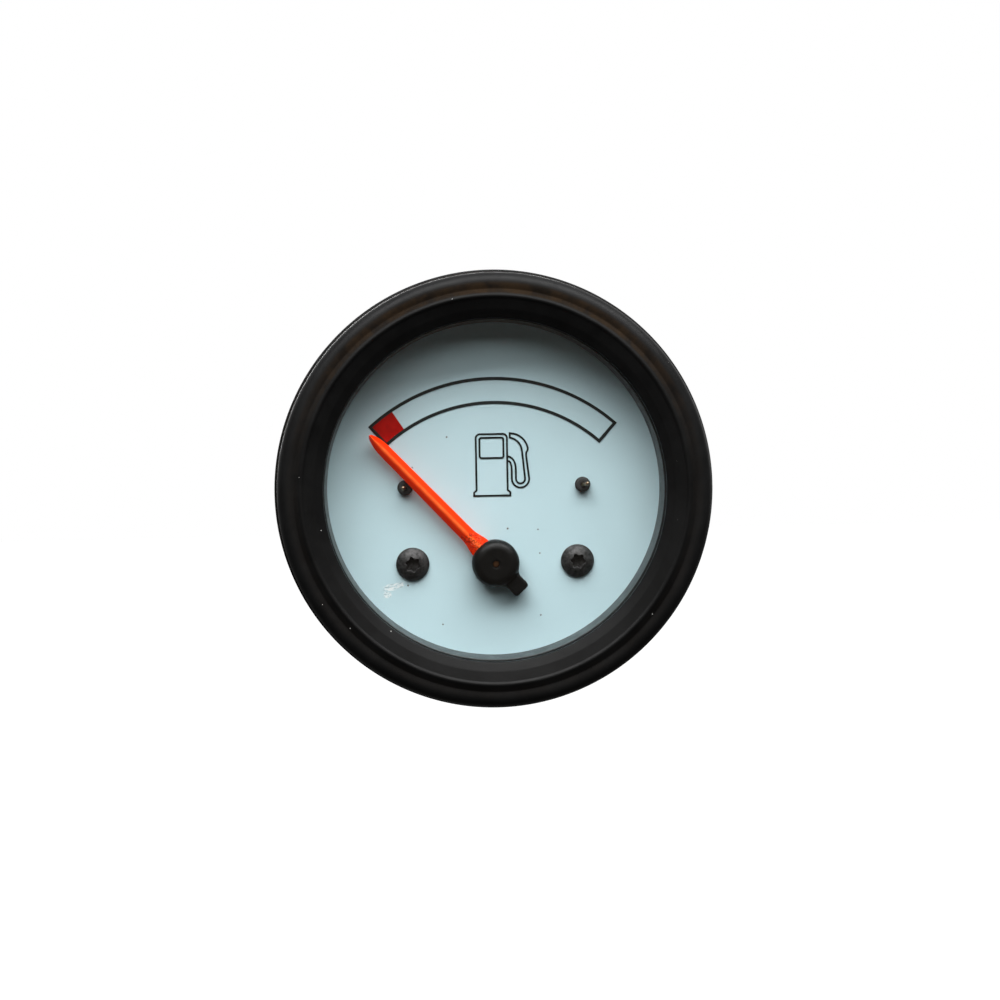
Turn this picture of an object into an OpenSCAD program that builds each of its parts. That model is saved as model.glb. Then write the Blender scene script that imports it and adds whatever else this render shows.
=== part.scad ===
// Round electric fuel gauge that clamps into a dashboard hole.
// It faces -Y, +Z is up and +Y runs back through the panel. The origin is on the
// case's axis in the plane of the panel's front face.

/* [Front ring] */
// Width of the ring outside the barrel
ring_overhang = 4.1; // [3.7:0.1:7]
// Thickness of the formed sheet
ring_sheet = 0.6; // [0.4:0.1:0.7]
// Width of the ring's face, from its edge to its opening
ring_face = 6.7; // [6.2:0.1:8]
// Distance from the ring's edge to the top of the ridge
ridge_in = 3.75; // [3.4:0.05:4]
// Height of the ridge in front of the glass
ridge_h = 1.8; // [1.6:0.1:2.4]
// Rounding along the top of the ridge
ridge_r = 0.4; // [0.2:0.05:0.6]
// Width of the sloping land that presses on the glass
land_w = 1.2; // [0.8:0.1:1.6]
// Depth of the groove outside the ridge
groove_d = 0.4; // [0.3:0.05:0.5]
// Radius of the outer bead's section
bead_r = 1.6; // [1.2:0.1:1.8]
// Width of the thin rim round the foot of the ring's wall
rim_w = 0.5; // [0.3:0.1:0.6]

/* [Glass and seals] */
// Thickness of the flat glass
glass_t = 1.8; // [1.2:0.1:2.4]
// Thickness of the rubber ring behind the glass
lens_gasket_t = 0.6; // [0.4:0.1:1]
// Free depth between the glass and the dial's face
cavity = 3.6; // [3.4:0.1:6]
// Thickness of the seal between the ring and the panel
panel_gasket_t = 0.8; // [0.4:0.1:1.5]

/* [Case] */
// Diameter of the barrel that enters the panel's hole
barrel_d = 51.8; // [51:0.1:52.4]
// Length of that barrel behind the panel's front face
register_l = 8; // [5:1:14]
// Step from the barrel in to the case behind it
body_step = 0.3; // [0.2:0.1:0.6]
// Thickness of the drawn sheet
case_t = 0.7; // [0.5:0.1:0.9]
// Depth of the case behind the panel's front face
case_depth = 34; // [30:1:48]
// Outside rounding of the case's rear edge
case_corner = 1.5; // [1:0.1:1.8]

/* [Dial] */
// Thickness of the dial plate
dial_t = 0.8; // [0.5:0.1:1.2]
// Thickness of a printed layer
ink_t = 0.05; // [0.03:0.01:0.1]
// Width of the shroud's rim that shows inside the ring
shroud_show = 0.35; // [0.2:0.05:0.8]
// Distance of the pivot from the dial's visible edge
pivot_edge = 12.8; // [12.2:0.05:13.6]
// Radius of the scale's outer line from the pivot
scale_outer_r = 25.4; // [24.5:0.1:26.5]
// Distance between the scale's two lines
scale_band = 3.3; // [2:0.1:4]
// Half of the scale's arc, each side of upright
scale_half = 41.6; // [36:0.1:44]
// Width of the scale's lines
scale_line = 0.44; // [0.3:0.02:0.6]
// Angle left of upright at which the red zone starts
red_from = 33.3; // [28:0.1:35]

/* [Dial fittings] */
// Distance of each dial screw from the pivot's upright line
screw_x = 11.4; // [11:0.1:12]
// Diameter of a screw head
screw_head_d = 4.6; // [4:0.05:5]
// Height of a screw head
screw_head_h = 1.3; // [1:0.1:1.6]
// Diameter of a screw's shank
screw_d = 2.2; // [2:0.1:2.6]
// Size across the six-lobed recess
recess_d = 2.1; // [1.6:0.1:2.2]
// Diameter of a stop pin's wire
pin_d = 0.6; // [0.4:0.1:0.8]
// Height of a stop pin above the dial
pin_h = 2.5; // [2.3:0.1:2.8]
// Radius from the pivot to a stop pin
pin_orbit = 16.2; // [15:0.1:17]
// Outside diameter of a stop pin's rubber sleeve
sleeve_d = 2.1; // [1.6:0.1:2.4]

/* [Pump symbol] */
// Width of the symbol's lines
symbol_line = 0.27; // [0.2:0.01:0.32]
// Left edge of the pump's body from the dial's upright centre line
pump_left = -2.4; // [-3:0.1:-2]
// Width of the pump's body between line centres
pump_w = 4.3; // [4:0.1:4.8]
// Height of the pump's body top above the dial's centre
pump_top = 7.6; // [7:0.1:8]
// Height of the pump's body between line centres
pump_h = 7.75; // [7:0.05:8.4]
// Overhang of the pump's foot on each side
foot_out = 0.35; // [0.2:0.05:0.5]
// Height of the pump's foot
foot_h = 0.75; // [0.5:0.05:1]
// Drop of the foot's sloping shoulders
foot_drop = 0.3; // [0.1:0.05:0.4]
// Margin between the pump's body and its window
window_margin = 0.5; // [0.4:0.05:0.7]
// Height of the pump's window
window_h = 2.8; // [2:0.1:3.4]

/* [Pointer] */
// Travel from the empty stop to the full stop
sweep = 87; // [70:1:90]
// Length from the pivot to the tip
arm_l = 24.7; // [23:0.1:25.5]
// Width of the arm along most of its length
arm_w = 2; // [1.6:0.1:2.4]
// Width of the arm where it enters the hub
arm_root_w = 3; // [2.6:0.1:3.6]
// Height of the arm from its underside to its ridge
arm_t = 1.1; // [0.8:0.1:1.2]
// Height of the arm's upright sides
arm_side = 0.35; // [0.2:0.05:0.5]
// Gap between the dial and the arm's underside
arm_lift = 1.05; // [1:0.05:1.15]
// Diameter of the hub
hub_d = 6.55; // [6:0.05:7]
// Height of the hub
hub_h = 2.4; // [2.2:0.1:2.6]
// Gap between the dial and the hub
hub_lift = 0.6; // [0.4:0.1:0.7]
// Length of the counterweight tail from the pivot
tail_l = 5.35; // [4.6:0.05:6.4]
// Width of the tail
tail_w = 2.4; // [1.8:0.1:2.8]
// Diameter of the pointer's shaft
shaft_d = 1; // [0.8:0.1:1.2]

/* [Movement] */
// Side of the square coil former
former_w = 13; // [12:0.5:13.5]
// Length of each half of the former
former_l = 3; // [2.6:0.1:4]
// Diameter of the magnet disc
magnet_d = 9; // [8:0.5:9.5]
// Thickness of the magnet disc
magnet_t = 2.6; // [2:0.1:3]
// Thickness of one layer of windings
winding_t = 1.3; // [1:0.1:1.5]
// Width of one bundle of windings
winding_w = 3.8; // [3:0.1:4]
// Thickness of the former's front plate
bridge_t = 1.6; // [1.2:0.1:2]
// Length of the bosses between the dial and that plate
boss_l = 2.2; // [2:0.1:3]
// Diameter of those bosses
boss_d = 5.2; // [4.6:0.1:5.6]
// Thickness of the shield's steel
shield_t = 0.5; // [0.4:0.1:0.8]
// Thickness of the circuit board
board_t = 1.6; // [1:0.1:2]
// Wall thickness of a shaft bush
bush_wall = 0.5; // [0.4:0.05:0.6]
// Diameter of a resistor's body
resistor_d = 2.4; // [1.8:0.1:2.6]

/* [Rear fittings] */
// Thread diameter of the two clamping studs
stud_d = 4; // [4:0.5:5]
// Thread pitch of those studs
stud_pitch = 0.7; // [0.5:0.05:0.8]
// Distance of each stud's axis from the case's inner wall
stud_edge = 8.9; // [8.4:0.1:10]
// Length of the studs behind the case
stud_out = 20; // [19:1:26]
// Width of a terminal blade
blade_w = 6.3; // [4.8:0.1:6.6]
// Thickness of a terminal blade
blade_t = 0.8; // [0.6:0.1:0.9]
// Length of a terminal blade behind its insulator
blade_l = 8.5; // [7:0.5:10]
// Distance between neighbouring blades
blade_pitch = 7.5; // [7.4:0.1:7.8]
// Distance of the blades from the case's inner wall
blade_edge = 9.4; // [9:0.1:10.4]
// Distance of the lamp's axis from the case's inner wall
lamp_edge = 9.4; // [9:0.1:10]
// Diameter of the lamp holder's barrel
lamp_d = 12.4; // [11:0.1:12.6]
// Length of the lamp's two contacts behind their holder
contact_l = 6; // [5:0.5:8]

/* [Bracket] */
// Width of the bracket's strip
strip_w = 14; // [10:0.5:15]
// Thickness of the bracket's strip
strip_t = 1.5; // [1:0.1:2]
// Distance between the bracket's feet and the panel's front face
panel_room = 6; // [5:0.5:8]
// Distance that the bracket can still move forwards
clamp_travel = 5; // [4:0.5:5]
// Diameter of a knurled nut
knurl_d = 9; // [8:0.5:10]
// Height of a knurled nut
knurl_h = 6; // [4:0.5:7]

/* [Hidden] */
$fn = 96;
EPS = 0.01;
// Free gap between pieces that only pass each other
PASS = 0.3;
// Radial gap of a shaft, nut or plug in its hole
RUN = 0.05;
// Radial gap of a tight sleeve or a screw in its own thread
GRIP = 0.02;
// Small clearance round bolts, wires and plugs
SNUG = 0.1;
// Distance by which a cut runs past the faces that it opens
PAST = 1;

// Planes along the axis, from the panel's face forwards
curl_y = -panel_gasket_t;
flange_back = curl_y - ring_sheet;
flange_front = flange_back - case_t;
shroud_flange_t = 0.6;
shroud_top = flange_front - shroud_flange_t;
glass_back = shroud_top - lens_gasket_t;
glass_front = glass_back - glass_t;
ridge_y = glass_front - ridge_h;
dial_y = glass_back + cavity;
dial_back = dial_y + dial_t;

// Radii of the case, the glass and what lies round them
barrel_r = barrel_d / 2;
ring_r = barrel_r + ring_overhang;
opening_r = ring_r - ring_face;
crest_r = ring_r - ridge_in;
body_r = barrel_r - body_step;
case_in_r = body_r - case_t;
glass_r = crest_r - 0.2;
seat_r = barrel_r + 0.9;
flange_r = ring_r - ring_sheet - 0.6;
shroud_r = case_in_r - PASS;
collar_r = glass_r - 1.6;
dial_r = case_in_r - 0.2;
view_r = opening_r - shroud_show;
scale_inner_r = scale_outer_r - scale_band;
stud_x = case_in_r - stud_edge;
blade_drop = case_in_r - blade_edge;
lamp_rise = case_in_r - lamp_edge;

// Planes of the movement, from the dial backwards
pz = pivot_edge - view_r;
former_corner = 0.8;
coil_gap = 1.2;
coil_pin_r = 0.4;
coil_pin_in = 1.8;
coil_pin_out = 1.2;
bridge_y = dial_back + boss_l;
wind_y = bridge_y + bridge_t;
former_y = wind_y + 2 * (winding_t + SNUG);
former_mid = former_y + former_l;
former_end = former_mid + former_l;
board_y = former_end + 2 * (winding_t + SNUG);
board_end = board_y + board_t;
shield_r = norm([former_w / 2 + winding_t, winding_w + coil_gap]) + PASS + shield_t;
magnet_y = former_mid - magnet_t / 2;
pocket_r = magnet_d / 2 + 0.5;
pocket_l = magnet_t / 2 + 0.4;
peg_w = former_w / 2 - winding_w - coil_gap - SNUG;
peg_at = former_w / 2 - peg_w / 2;
bush_d = shaft_d + 2 * bush_wall;

// Planes behind the case
wall_y = case_depth - case_t;
insulator_t = 1.6;
washer_t = 0.8;
washer_rim = 2.4;
spacer_wall = 1.4;
nut_t = 2.2;
bar_y = case_depth + washer_t + nut_t + PASS + clamp_travel;
bar_end = bar_y + strip_t;
knurl_y = bar_end + washer_t;
stud_end = case_depth + stud_out;
leg_x = barrel_r + 1.4;
lamp_flange_t = 1.5;
lamp_bore_r = lamp_d / 2 - 1.4;

// Points along an arc of radius r about c, from angle a to angle b
function arc(c, r, a, b, n = 8) =
    [for (i = [0:n]) c + r * [cos(a + (b - a) * i / n), sin(a + (b - a) * i / n)]];
// Points that round the corner at p, with radius p[2], between its neighbours a and b
function corner_arc(a, p, b, n) =
    let (
        at = [p[0], p[1]],
        u = ([a[0], a[1]] - at) / norm([a[0], a[1]] - at),
        v = ([b[0], b[1]] - at) / norm([b[0], b[1]] - at),
        half = acos(u * v) / 2,
        c = at + (u + v) / norm(u + v) * p[2] / sin(half),
        from = at + u * p[2] / tan(half) - c,
        to = at + v * p[2] / tan(half) - c,
        start = atan2(from[1], from[0]),
        turn = atan2(from[0] * to[1] - from[1] * to[0], from * to)
    )
    arc(c, p[2], start, start + turn, n);
// A list in the opposite order
function turned_round(p) = [for (i = [len(p) - 1:-1:0]) p[i]];
// Points at distance d to the left of a path
function beside(p, d) = [
    for (i = [0:len(p) - 1])
    let (
        a = p[max(i - 1, 0)],
        b = p[min(i + 1, len(p) - 1)],
        u = (b - a) / norm(b - a),
        s = i == 0 || i == len(p) - 1 ? [0, 0] : (p[i] - a) / norm(p[i] - a),
        k = i == 0 || i == len(p) - 1 ? 1 : max(0.5, abs(s * u))
    )
    p[i] + d / k * [-u[1], u[0]]
];
// A line of width w along a path
function ribbon(p, w) = concat(beside(p, w / 2), turned_round(beside(p, -w / 2)));
// Points along a quadratic curve from a to c, drawn towards b
function bend(a, b, c, n = 6) = [
    for (i = [0:n])
    let (t = i / n)
    a * (1 - t) * (1 - t) + b * 2 * t * (1 - t) + c * t * t
];

// A solid of revolution about the Y axis, from a profile of radius and y
module turned() {
    rotate([-90, 0, 0]) rotate_extrude() children();
}

// A plate between two values of y, from a drawing of x and z
module plate(y0, y1) {
    translate([0, y1, 0]) rotate([90, 0, 0]) linear_extrude(height = y1 - y0) children();
}

// A round bar along Y between two values of y
module bar(r, y0, y1) {
    translate([0, y0, 0]) rotate([-90, 0, 0]) cylinder(r = r, h = y1 - y0);
}

// A round cut along Y that runs past two faces
module hole(r, y0, y1) {
    bar(r, y0 - PAST, y1 + PAST);
}

// A cut along Y that runs past two faces, from a drawing of x and z
module opening(y0, y1) {
    plate(y0 - PAST, y1 + PAST) children();
}

// A tube along Y between two values of y
module tube(r_out, r_in, y0, y1) {
    difference() {
        bar(r_out, y0, y1);
        hole(r_in, y0, y1);
    }
}

// A flat rectangle with round corners about its centre
module rounded(w, h, r) {
    square([w - 2 * r, h], center = true);
    square([w, h - 2 * r], center = true);
    for (x = [-1, 1], z = [-1, 1])
        translate([x * (w / 2 - r), z * (h / 2 - r)]) circle(r);
}

// A flat ring between two radii, from angle a to angle b
module ring_sector(r_out, r_in, a, b) {
    reach = 2 * r_out;
    intersection() {
        difference() {
            circle(r_out);
            circle(r_in);
        }
        polygon(concat([[0, 0]], arc([0, 0], reach, a, b, 4)));
    }
}

// Places its children at both dial screws
module at_screws() {
    for (s = [-1, 1]) translate([s * screw_x, 0, pz]) children();
}

// Places its children at both clamping studs
module at_studs() {
    for (s = [-1, 1]) translate([s * stud_x, 0, 0]) children();
}

// Places its children at both stop pins, just past the ends of the pointer's travel
stop_gap = 0.3;
pin_angle = sweep / 2 + asin((arm_w / 2 + pin_d / 2 + stop_gap) / pin_orbit);
module at_pins() {
    for (s = [-1, 1])
        translate([0, 0, pz]) rotate([0, s * pin_angle, 0]) translate([0, 0, pin_orbit]) children();
}

// Corners of the ring's front, in radius and distance in front of the panel, each
// with the radius that rounds it. The first and the last are ends only.
wall_r = ring_r - rim_w;
groove_r = crest_r + 0.98;
rim_top = 0.7 - flange_front;
curl_r = 0.7;
front_corners = [
    [opening_r, -glass_front, 0], [opening_r, ring_sheet - 0.1 - glass_front, 0.26],
    [opening_r + land_w, ring_sheet + 0.5 - glass_front, 1.6],
    [crest_r - 0.4, -ridge_y - 0.26, 0.4], [crest_r, -ridge_y, ridge_r],
    [groove_r, -ridge_y - groove_d, 0.35],
    [wall_r, -ridge_y + 0.06, min(bead_r, 0.75 * (wall_r - groove_r))],
    [wall_r, rim_top + 0.1, 0.12], [ring_r, rim_top, 0.16],
    [ring_r, -curl_y, curl_r - 0.01], [seat_r, -curl_y, 0]
];
front_steps = [0, 4, 2, 3, 5, 3, 12, 3, 3, 6, 0];
// Back of the ring, from the curl to the land
inner_wall_r = wall_r - ring_sheet - 0.05;
ring_back = [
    [seat_r, -curl_y], [seat_r, -flange_back], [ring_r - ring_sheet, -flange_back],
    [ring_r - ring_sheet, rim_top - ring_sheet], [inner_wall_r, rim_top - 0.2],
    [inner_wall_r, -ridge_y - 1.4], [inner_wall_r - 0.3, -ridge_y - 0.95],
    [inner_wall_r - 0.75, -ridge_y - 0.78], [groove_r, -ridge_y - groove_d - ring_sheet],
    [crest_r, -ridge_y - ring_sheet - 0.05], [crest_r - 1, -ridge_y - 1.05],
    [opening_r + land_w + 0.1, -glass_front]
];
ring_front = concat(
    [[opening_r, -glass_front]],
    [
        for (i = [1:len(front_corners) - 2])
        for (p = corner_arc(
            front_corners[i - 1], front_corners[i], front_corners[i + 1], front_steps[i]
        )) p
    ]
);

module front_bezel() {
    color([0.06, 0.06, 0.06])
        rotate([90, 0, 0]) rotate_extrude() polygon(concat(ring_front, ring_back));
}

module lens_glass() {
    edge = 0.15;
    color([0.85, 0.93, 0.95, 0.3])
        turned() polygon([
            [0, glass_front], [glass_r - edge, glass_front], [glass_r, glass_front + edge],
            [glass_r, glass_back - edge], [glass_r - edge, glass_back], [0, glass_back]
        ]);
}

module lens_gasket() {
    color([0.1, 0.1, 0.1]) tube(glass_r, collar_r + PASS, glass_back, shroud_top);
}

module panel_gasket() {
    color([0.12, 0.12, 0.12]) tube(ring_r - curl_r, seat_r, curl_y, 0);
}

// The shroud's collar stands up inside the seal, and its wall stands on the dial
module dial_shroud() {
    taper = 0.25;
    rim_r = flange_r - 0.4;
    collar_y = glass_back + SNUG;
    color([0.13, 0.13, 0.13])
        turned() polygon([
            [view_r, dial_y], [view_r + taper, collar_y], [collar_r, collar_y],
            [collar_r, shroud_top], [rim_r, shroud_top], [rim_r, flange_front],
            [shroud_r, flange_front], [shroud_r, dial_y]
        ]);
}

module dial_plate() {
    shaft_hole_r = shaft_d / 2 + 1.1;
    color([0.8, 0.86, 0.88])
        difference() {
            bar(dial_r, dial_y, dial_back);
            translate([0, 0, pz]) hole(shaft_hole_r, dial_y, dial_back);
            at_screws() hole(screw_d / 2 + SNUG, dial_y, dial_back);
            at_pins() hole(pin_d / 2, dial_y, dial_back);
        }
}

// Radial line that closes the scale at an angle left of upright
module scale_end(a) {
    rotate(90 + a)
        translate([scale_inner_r - scale_line / 2, -scale_line / 2])
            square([scale_outer_r - scale_inner_r + scale_line, scale_line]);
}

module scale_print() {
    half = scale_line / 2;
    color([0.12, 0.13, 0.13])
        translate([0, 0, pz]) plate(dial_y - ink_t, dial_y) {
            for (r = [scale_inner_r, scale_outer_r])
                ring_sector(r + half, r - half, 90 - scale_half, 90 + scale_half);
            for (s = [-1, 1]) scale_end(s * scale_half);
        }
}

module red_zone_print() {
    half = scale_line / 2;
    color([0.6, 0.05, 0.04])
        translate([0, 0, pz]) plate(dial_y - ink_t, dial_y)
            difference() {
                ring_sector(
                    scale_outer_r - half, scale_inner_r + half,
                    90 + red_from, 90 + scale_half
                );
                scale_end(scale_half);
            }
}

// The hose leaves the pump's right side, hangs in a loop and rises to the nozzle
pump_right = pump_left + pump_w;
pump_foot = pump_top - pump_h;
hose_x = pump_right + 1.8;
hose_loop = [hose_x, pump_foot + 1.5];
loop_in = 0.63;
loop_out = 1.2;
nozzle_x = pump_right + 0.4;
nozzle_low = 0.5;
nozzle_high = 0.08;
hose_inner = concat(
    bend([pump_right, pump_foot + 4.65], hose_loop + [-loop_in, 3], hose_loop + [-loop_in, 1.2]),
    arc(hose_loop, loop_in, 180, 360, 10),
    [[hose_x + 0.28, pump_foot + 5.2]],
    bend(
        [hose_x + 0.2, pump_foot + 5.7], [hose_x - 0.1, pump_top - 0.85],
        [nozzle_x, pump_top - nozzle_low]
    )
);
hose_outer = concat(
    bend([pump_right, pump_foot + 4], hose_loop + [-loop_out, 2.6], hose_loop + [-loop_out, 1.2], 4),
    arc(hose_loop, loop_out, 180, 360, 12),
    [[hose_x + 0.82, pump_foot + 4.7], [hose_x + 0.84, pump_foot + 5.1]],
    [[hose_x + 1.06, pump_foot + 5.5], [hose_x + 1.06, pump_foot + 5.8]],
    bend(
        [hose_x + 0.9, pump_foot + 6.3], [hose_x + 0.2, pump_top],
        [nozzle_x, pump_top + nozzle_high]
    )
);

// Outline of the pump's foot, moved out by d along the level and by t at the shoulders
function foot_outline(d, t) =
    let (half = [[d, 1], [d, t], [foot_out + d, t - foot_drop], [foot_out + d, -foot_h - d]])
    concat(
        [for (p = half) [pump_right + p[0], pump_foot + p[1]]],
        turned_round([for (p = half) [pump_left - p[0], pump_foot + p[1]]])
    );

module pump_symbol_print() {
    w = symbol_line;
    corner = 0.55;
    window_w = pump_w - 2 * window_margin;
    window_corner = 0.28;
    // The foot's line keeps its width where it turns at the shoulders
    turn = (norm([foot_out, foot_drop]) - foot_drop) / foot_out;
    color([0.12, 0.13, 0.13])
        plate(dial_y - ink_t, dial_y) {
            difference() {
                union() {
                    translate([pump_left + pump_w / 2, pump_foot + pump_h / 2])
                        rounded(pump_w + w, pump_h + w, corner + w / 2);
                    translate([pump_left - w / 2, pump_foot]) square([pump_w + w, 1]);
                    polygon(ribbon(hose_inner, w));
                    polygon(ribbon(hose_outer, w));
                    translate([nozzle_x - w / 2, pump_top - nozzle_low - w / 2])
                        square([w, nozzle_low + nozzle_high + w]);
                }
                translate([pump_left + pump_w / 2, pump_foot + pump_h / 2])
                    rounded(pump_w - w, pump_h - w, corner - w / 2);
                translate([pump_left + w / 2, pump_foot - 1]) square([pump_w - w, 2]);
            }
            difference() {
                polygon(foot_outline(w / 2, turn * w / 2));
                polygon(foot_outline(-w / 2, -turn * w / 2));
            }
            translate([pump_left + pump_w / 2, pump_top - window_margin - window_h / 2])
                difference() {
                    rounded(window_w + w, window_h + w, window_corner + w / 2);
                    rounded(window_w - w, window_h - w, window_corner - w / 2);
                }
        }
}

// Button-head screw with a six-lobed recess, standing on the dial
module dial_screw() {
    head_r = screw_head_d / 2;
    dome = (head_r * head_r + screw_head_h * screw_head_h) / (2 * screw_head_h) + 0.4;
    sag = dome - sqrt(dome * dome - head_r * head_r);
    recess = recess_d / 2;
    lobe_r = recess * 0.3;
    lobe_at = recess * 1.14;
    difference() {
        union() {
            intersection() {
                bar(head_r, dial_y - screw_head_h, dial_y);
                translate([0, dial_y - screw_head_h + dome, 0]) sphere(r = dome);
            }
            bar(screw_d / 2, dial_y - EPS, wind_y - SNUG);
        }
        plate(dial_y - screw_head_h - PAST, dial_y - screw_head_h + sag)
            difference() {
                circle(recess);
                for (i = [0:5])
                    rotate(60 * i) translate([lobe_at, 0]) circle(lobe_r);
            }
    }
}

module dial_screws() {
    color([0.2, 0.19, 0.18]) at_screws() dial_screw();
}

// Wire pin, upset behind the dial, that stands up through its sleeve
module stop_pins() {
    r = pin_d / 2;
    foot_r = r * 1.8;
    foot_t = 0.4;
    color([0.6, 0.55, 0.45])
        at_pins() turned() polygon([
            [0, dial_y - pin_h], [r, dial_y - pin_h], [r, dial_back],
            [foot_r, dial_back], [foot_r, dial_back + foot_t], [0, dial_back + foot_t]
        ]);
}

// The sleeves end just short of the pointer's underside
module pin_sleeves() {
    r = sleeve_d / 2;
    r_in = pin_d / 2 + GRIP;
    top = dial_y - arm_lift + 0.2;
    round_r = 0.3;
    color([0.09, 0.09, 0.09])
        at_pins() turned() polygon(concat(
            [[r_in, dial_y], [r_in, top]],
            arc([r - round_r, top + round_r], round_r, -90, 0, 5),
            [[r, dial_y]]
        ));
}

// Plan of the pointer's arm along +X, from inside the hub to the tip
arm_seat = 1.3;
arm_in = hub_d / 2 - arm_seat;
arm_flare = hub_d / 2 + 2.6;
tip_l = 2.6;
tip_w = 0.55;
arm_side_line = concat(
    [[arm_in, arm_root_w / 2]],
    bend(
        [hub_d / 2 - 0.3, arm_root_w / 2], [hub_d / 2 + 0.8, arm_w / 2 + 0.1],
        [arm_flare, arm_w / 2]
    ),
    bend(
        [arm_l - tip_l, arm_w / 2 - 0.06], [arm_l - 0.9, arm_w / 2 - 0.15],
        [arm_l - 0.15, tip_w / 2]
    ),
    [[arm_l, 0]]
);
arm_plan = concat(arm_side_line, turned_round([for (p = arm_side_line) [p[0], -p[1]]]));

// Turns its children, drawn along +X, to the pointer's place at rest
module at_pointer() {
    translate([0, 0, pz]) rotate([0, -90 - sweep / 2, 0]) children();
}

module pointer_arm() {
    y_low = dial_y - arm_lift;
    color([0.95, 0.25, 0.08])
        at_pointer() intersection() {
            plate(y_low - arm_t, y_low) polygon(arm_plan);
            translate([arm_in, y_low, 0]) rotate([90, 0, 90])
                linear_extrude(height = arm_l)
                    polygon([
                        [-arm_root_w, 0], [-arm_root_w / 2, -arm_side], [-arm_w / 2, -arm_side],
                        [0, -arm_t], [arm_w / 2, -arm_side], [arm_root_w / 2, -arm_side],
                        [arm_root_w, 0]
                    ] * [[0, 1], [1, 0]]);
        }
}

// Moulded hub with a round shoulder, a dimple at the shaft and a tail
module pointer_hub() {
    r = hub_d / 2;
    y_low = dial_y - hub_lift;
    y_top = y_low - hub_h;
    low_edge = 0.2;
    shoulder = 1.3;
    dimple_r = 0.9;
    dimple = 0.12;
    tail_t = hub_h * 0.62;
    tail_corner = 0.4;
    tail_root = [-r * 0.72, r * 0.69];
    tail_bend = [-r * 0.98, tail_w / 2];
    tail_start = [-r - 0.7, tail_w / 2];
    tail_end = tail_corner - tail_l;
    down = [[1, 0], [0, -1]];
    color([0.07, 0.07, 0.07])
        difference() {
            union() {
                translate([0, 0, pz]) turned() polygon(concat(
                    [[0, y_low], [r - low_edge, y_low], [r, y_low - low_edge]],
                    arc([r - shoulder, y_top + shoulder], shoulder, 0, -90),
                    [[dimple_r, y_top], [dimple_r - 0.3, y_top + dimple], [0, y_top + dimple]]
                ));
                at_pointer() plate(y_low - tail_t, y_low) polygon(concat(
                    bend(tail_root, tail_bend, tail_start),
                    arc([tail_end, tail_w / 2 - tail_corner], tail_corner, 90, 180, 4),
                    arc([tail_end, tail_corner - tail_w / 2], tail_corner, 180, 270, 4),
                    bend(tail_start * down, tail_bend * down, tail_root * down)
                ));
            }
            translate([0, 0, pz]) hole(shaft_d / 2, y_top, y_low);
            at_pointer() translate([arm_in, dial_y - arm_lift - arm_t, -arm_root_w / 2])
                cube([r, arm_t, arm_root_w]);
        }
}

module pointer_shaft() {
    y0 = dial_y - hub_lift - hub_h + 0.25;
    y1 = former_end - 0.5;
    color([0.75, 0.6, 0.3]) translate([0, 0, pz]) bar(shaft_d / 2, y0, y1);
}

module rotor_magnet() {
    color([0.25, 0.25, 0.27])
        translate([0, 0, pz]) tube(magnet_d / 2, shaft_d / 2, magnet_y, magnet_y + magnet_t);
}

// Four corner pegs that hold the former off a plate and carry the windings' ends
module at_pegs() {
    for (x = [-1, 1], z = [-1, 1]) translate([x * peg_at, 0, z * peg_at]) children();
}

module former_front() {
    color([0.9, 0.88, 0.8])
        translate([0, 0, pz]) difference() {
            union() {
                bar(shield_r, bridge_y, wind_y);
                for (s = [-1, 1]) translate([s * screw_x, 0, 0]) bar(boss_d / 2, dial_back, wind_y);
                at_pegs() plate(wind_y - EPS, former_y + EPS) square(peg_w, center = true);
                difference() {
                    plate(former_y, former_mid) rounded(former_w, former_w, former_corner);
                    bar(pocket_r, former_mid - pocket_l, former_mid + PAST);
                }
            }
            for (s = [-1, 1])
                translate([s * screw_x, 0, 0]) hole(screw_d / 2 + GRIP, dial_back, wind_y);
            hole(bush_d / 2, bridge_y, wind_y);
            hole(shaft_d / 2 + 0.4, former_y, former_mid);
        }
}

module former_rear() {
    color([0.88, 0.86, 0.78])
        translate([0, 0, pz]) difference() {
            union() {
                plate(former_mid, former_end) rounded(former_w, former_w, former_corner);
                at_pegs() plate(former_end - EPS, board_y) square(peg_w, center = true);
            }
            bar(pocket_r, former_mid - PAST, former_mid + pocket_l);
            bar(bush_d / 2, former_mid, former_end + PAST);
            at_pegs() bar(coil_pin_r, board_y - coil_pin_in, board_y + PAST);
        }
}

module shaft_bushes() {
    color([0.8, 0.65, 0.35])
        translate([0, 0, pz]) {
            tube(bush_d / 2, shaft_d / 2 + RUN, bridge_y, wind_y);
            tube(bush_d / 2, shaft_d / 2 + RUN, former_mid + pocket_l, former_end);
        }
}

// One winding: two bundles that pass either side of the shaft, wound at a layer's height
module winding(layer) {
    side = former_w / 2 + SNUG;
    y0 = former_y - SNUG - (layer + 1) * winding_t;
    y1 = former_end + SNUG + (layer + 1) * winding_t;
    mid = (y0 + y1) / 2;
    inner_r = 0.3;
    for (s = [-1, 1])
        translate([0, mid, s * (coil_gap + winding_w / 2)])
            linear_extrude(height = winding_w, center = true)
                difference() {
                    rounded(2 * (side + winding_t), y1 - y0, winding_t);
                    rounded(2 * side, y1 - y0 - 2 * winding_t, inner_r);
                }
}

module coil_inner() {
    color([0.72, 0.36, 0.16]) translate([0, 0, pz]) winding(0);
}

module coil_outer() {
    color([0.66, 0.3, 0.14]) translate([0, 0, pz]) rotate([0, 90, 0]) winding(1);
}

module shield_ring() {
    color([0.6, 0.62, 0.62])
        translate([0, 0, pz]) tube(shield_r, shield_r - shield_t, wind_y, board_y);
}

module coil_pins() {
    color([0.8, 0.7, 0.4])
        translate([0, 0, pz]) at_pegs() bar(coil_pin_r, board_y - coil_pin_in, board_end + coil_pin_out);
}

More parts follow.
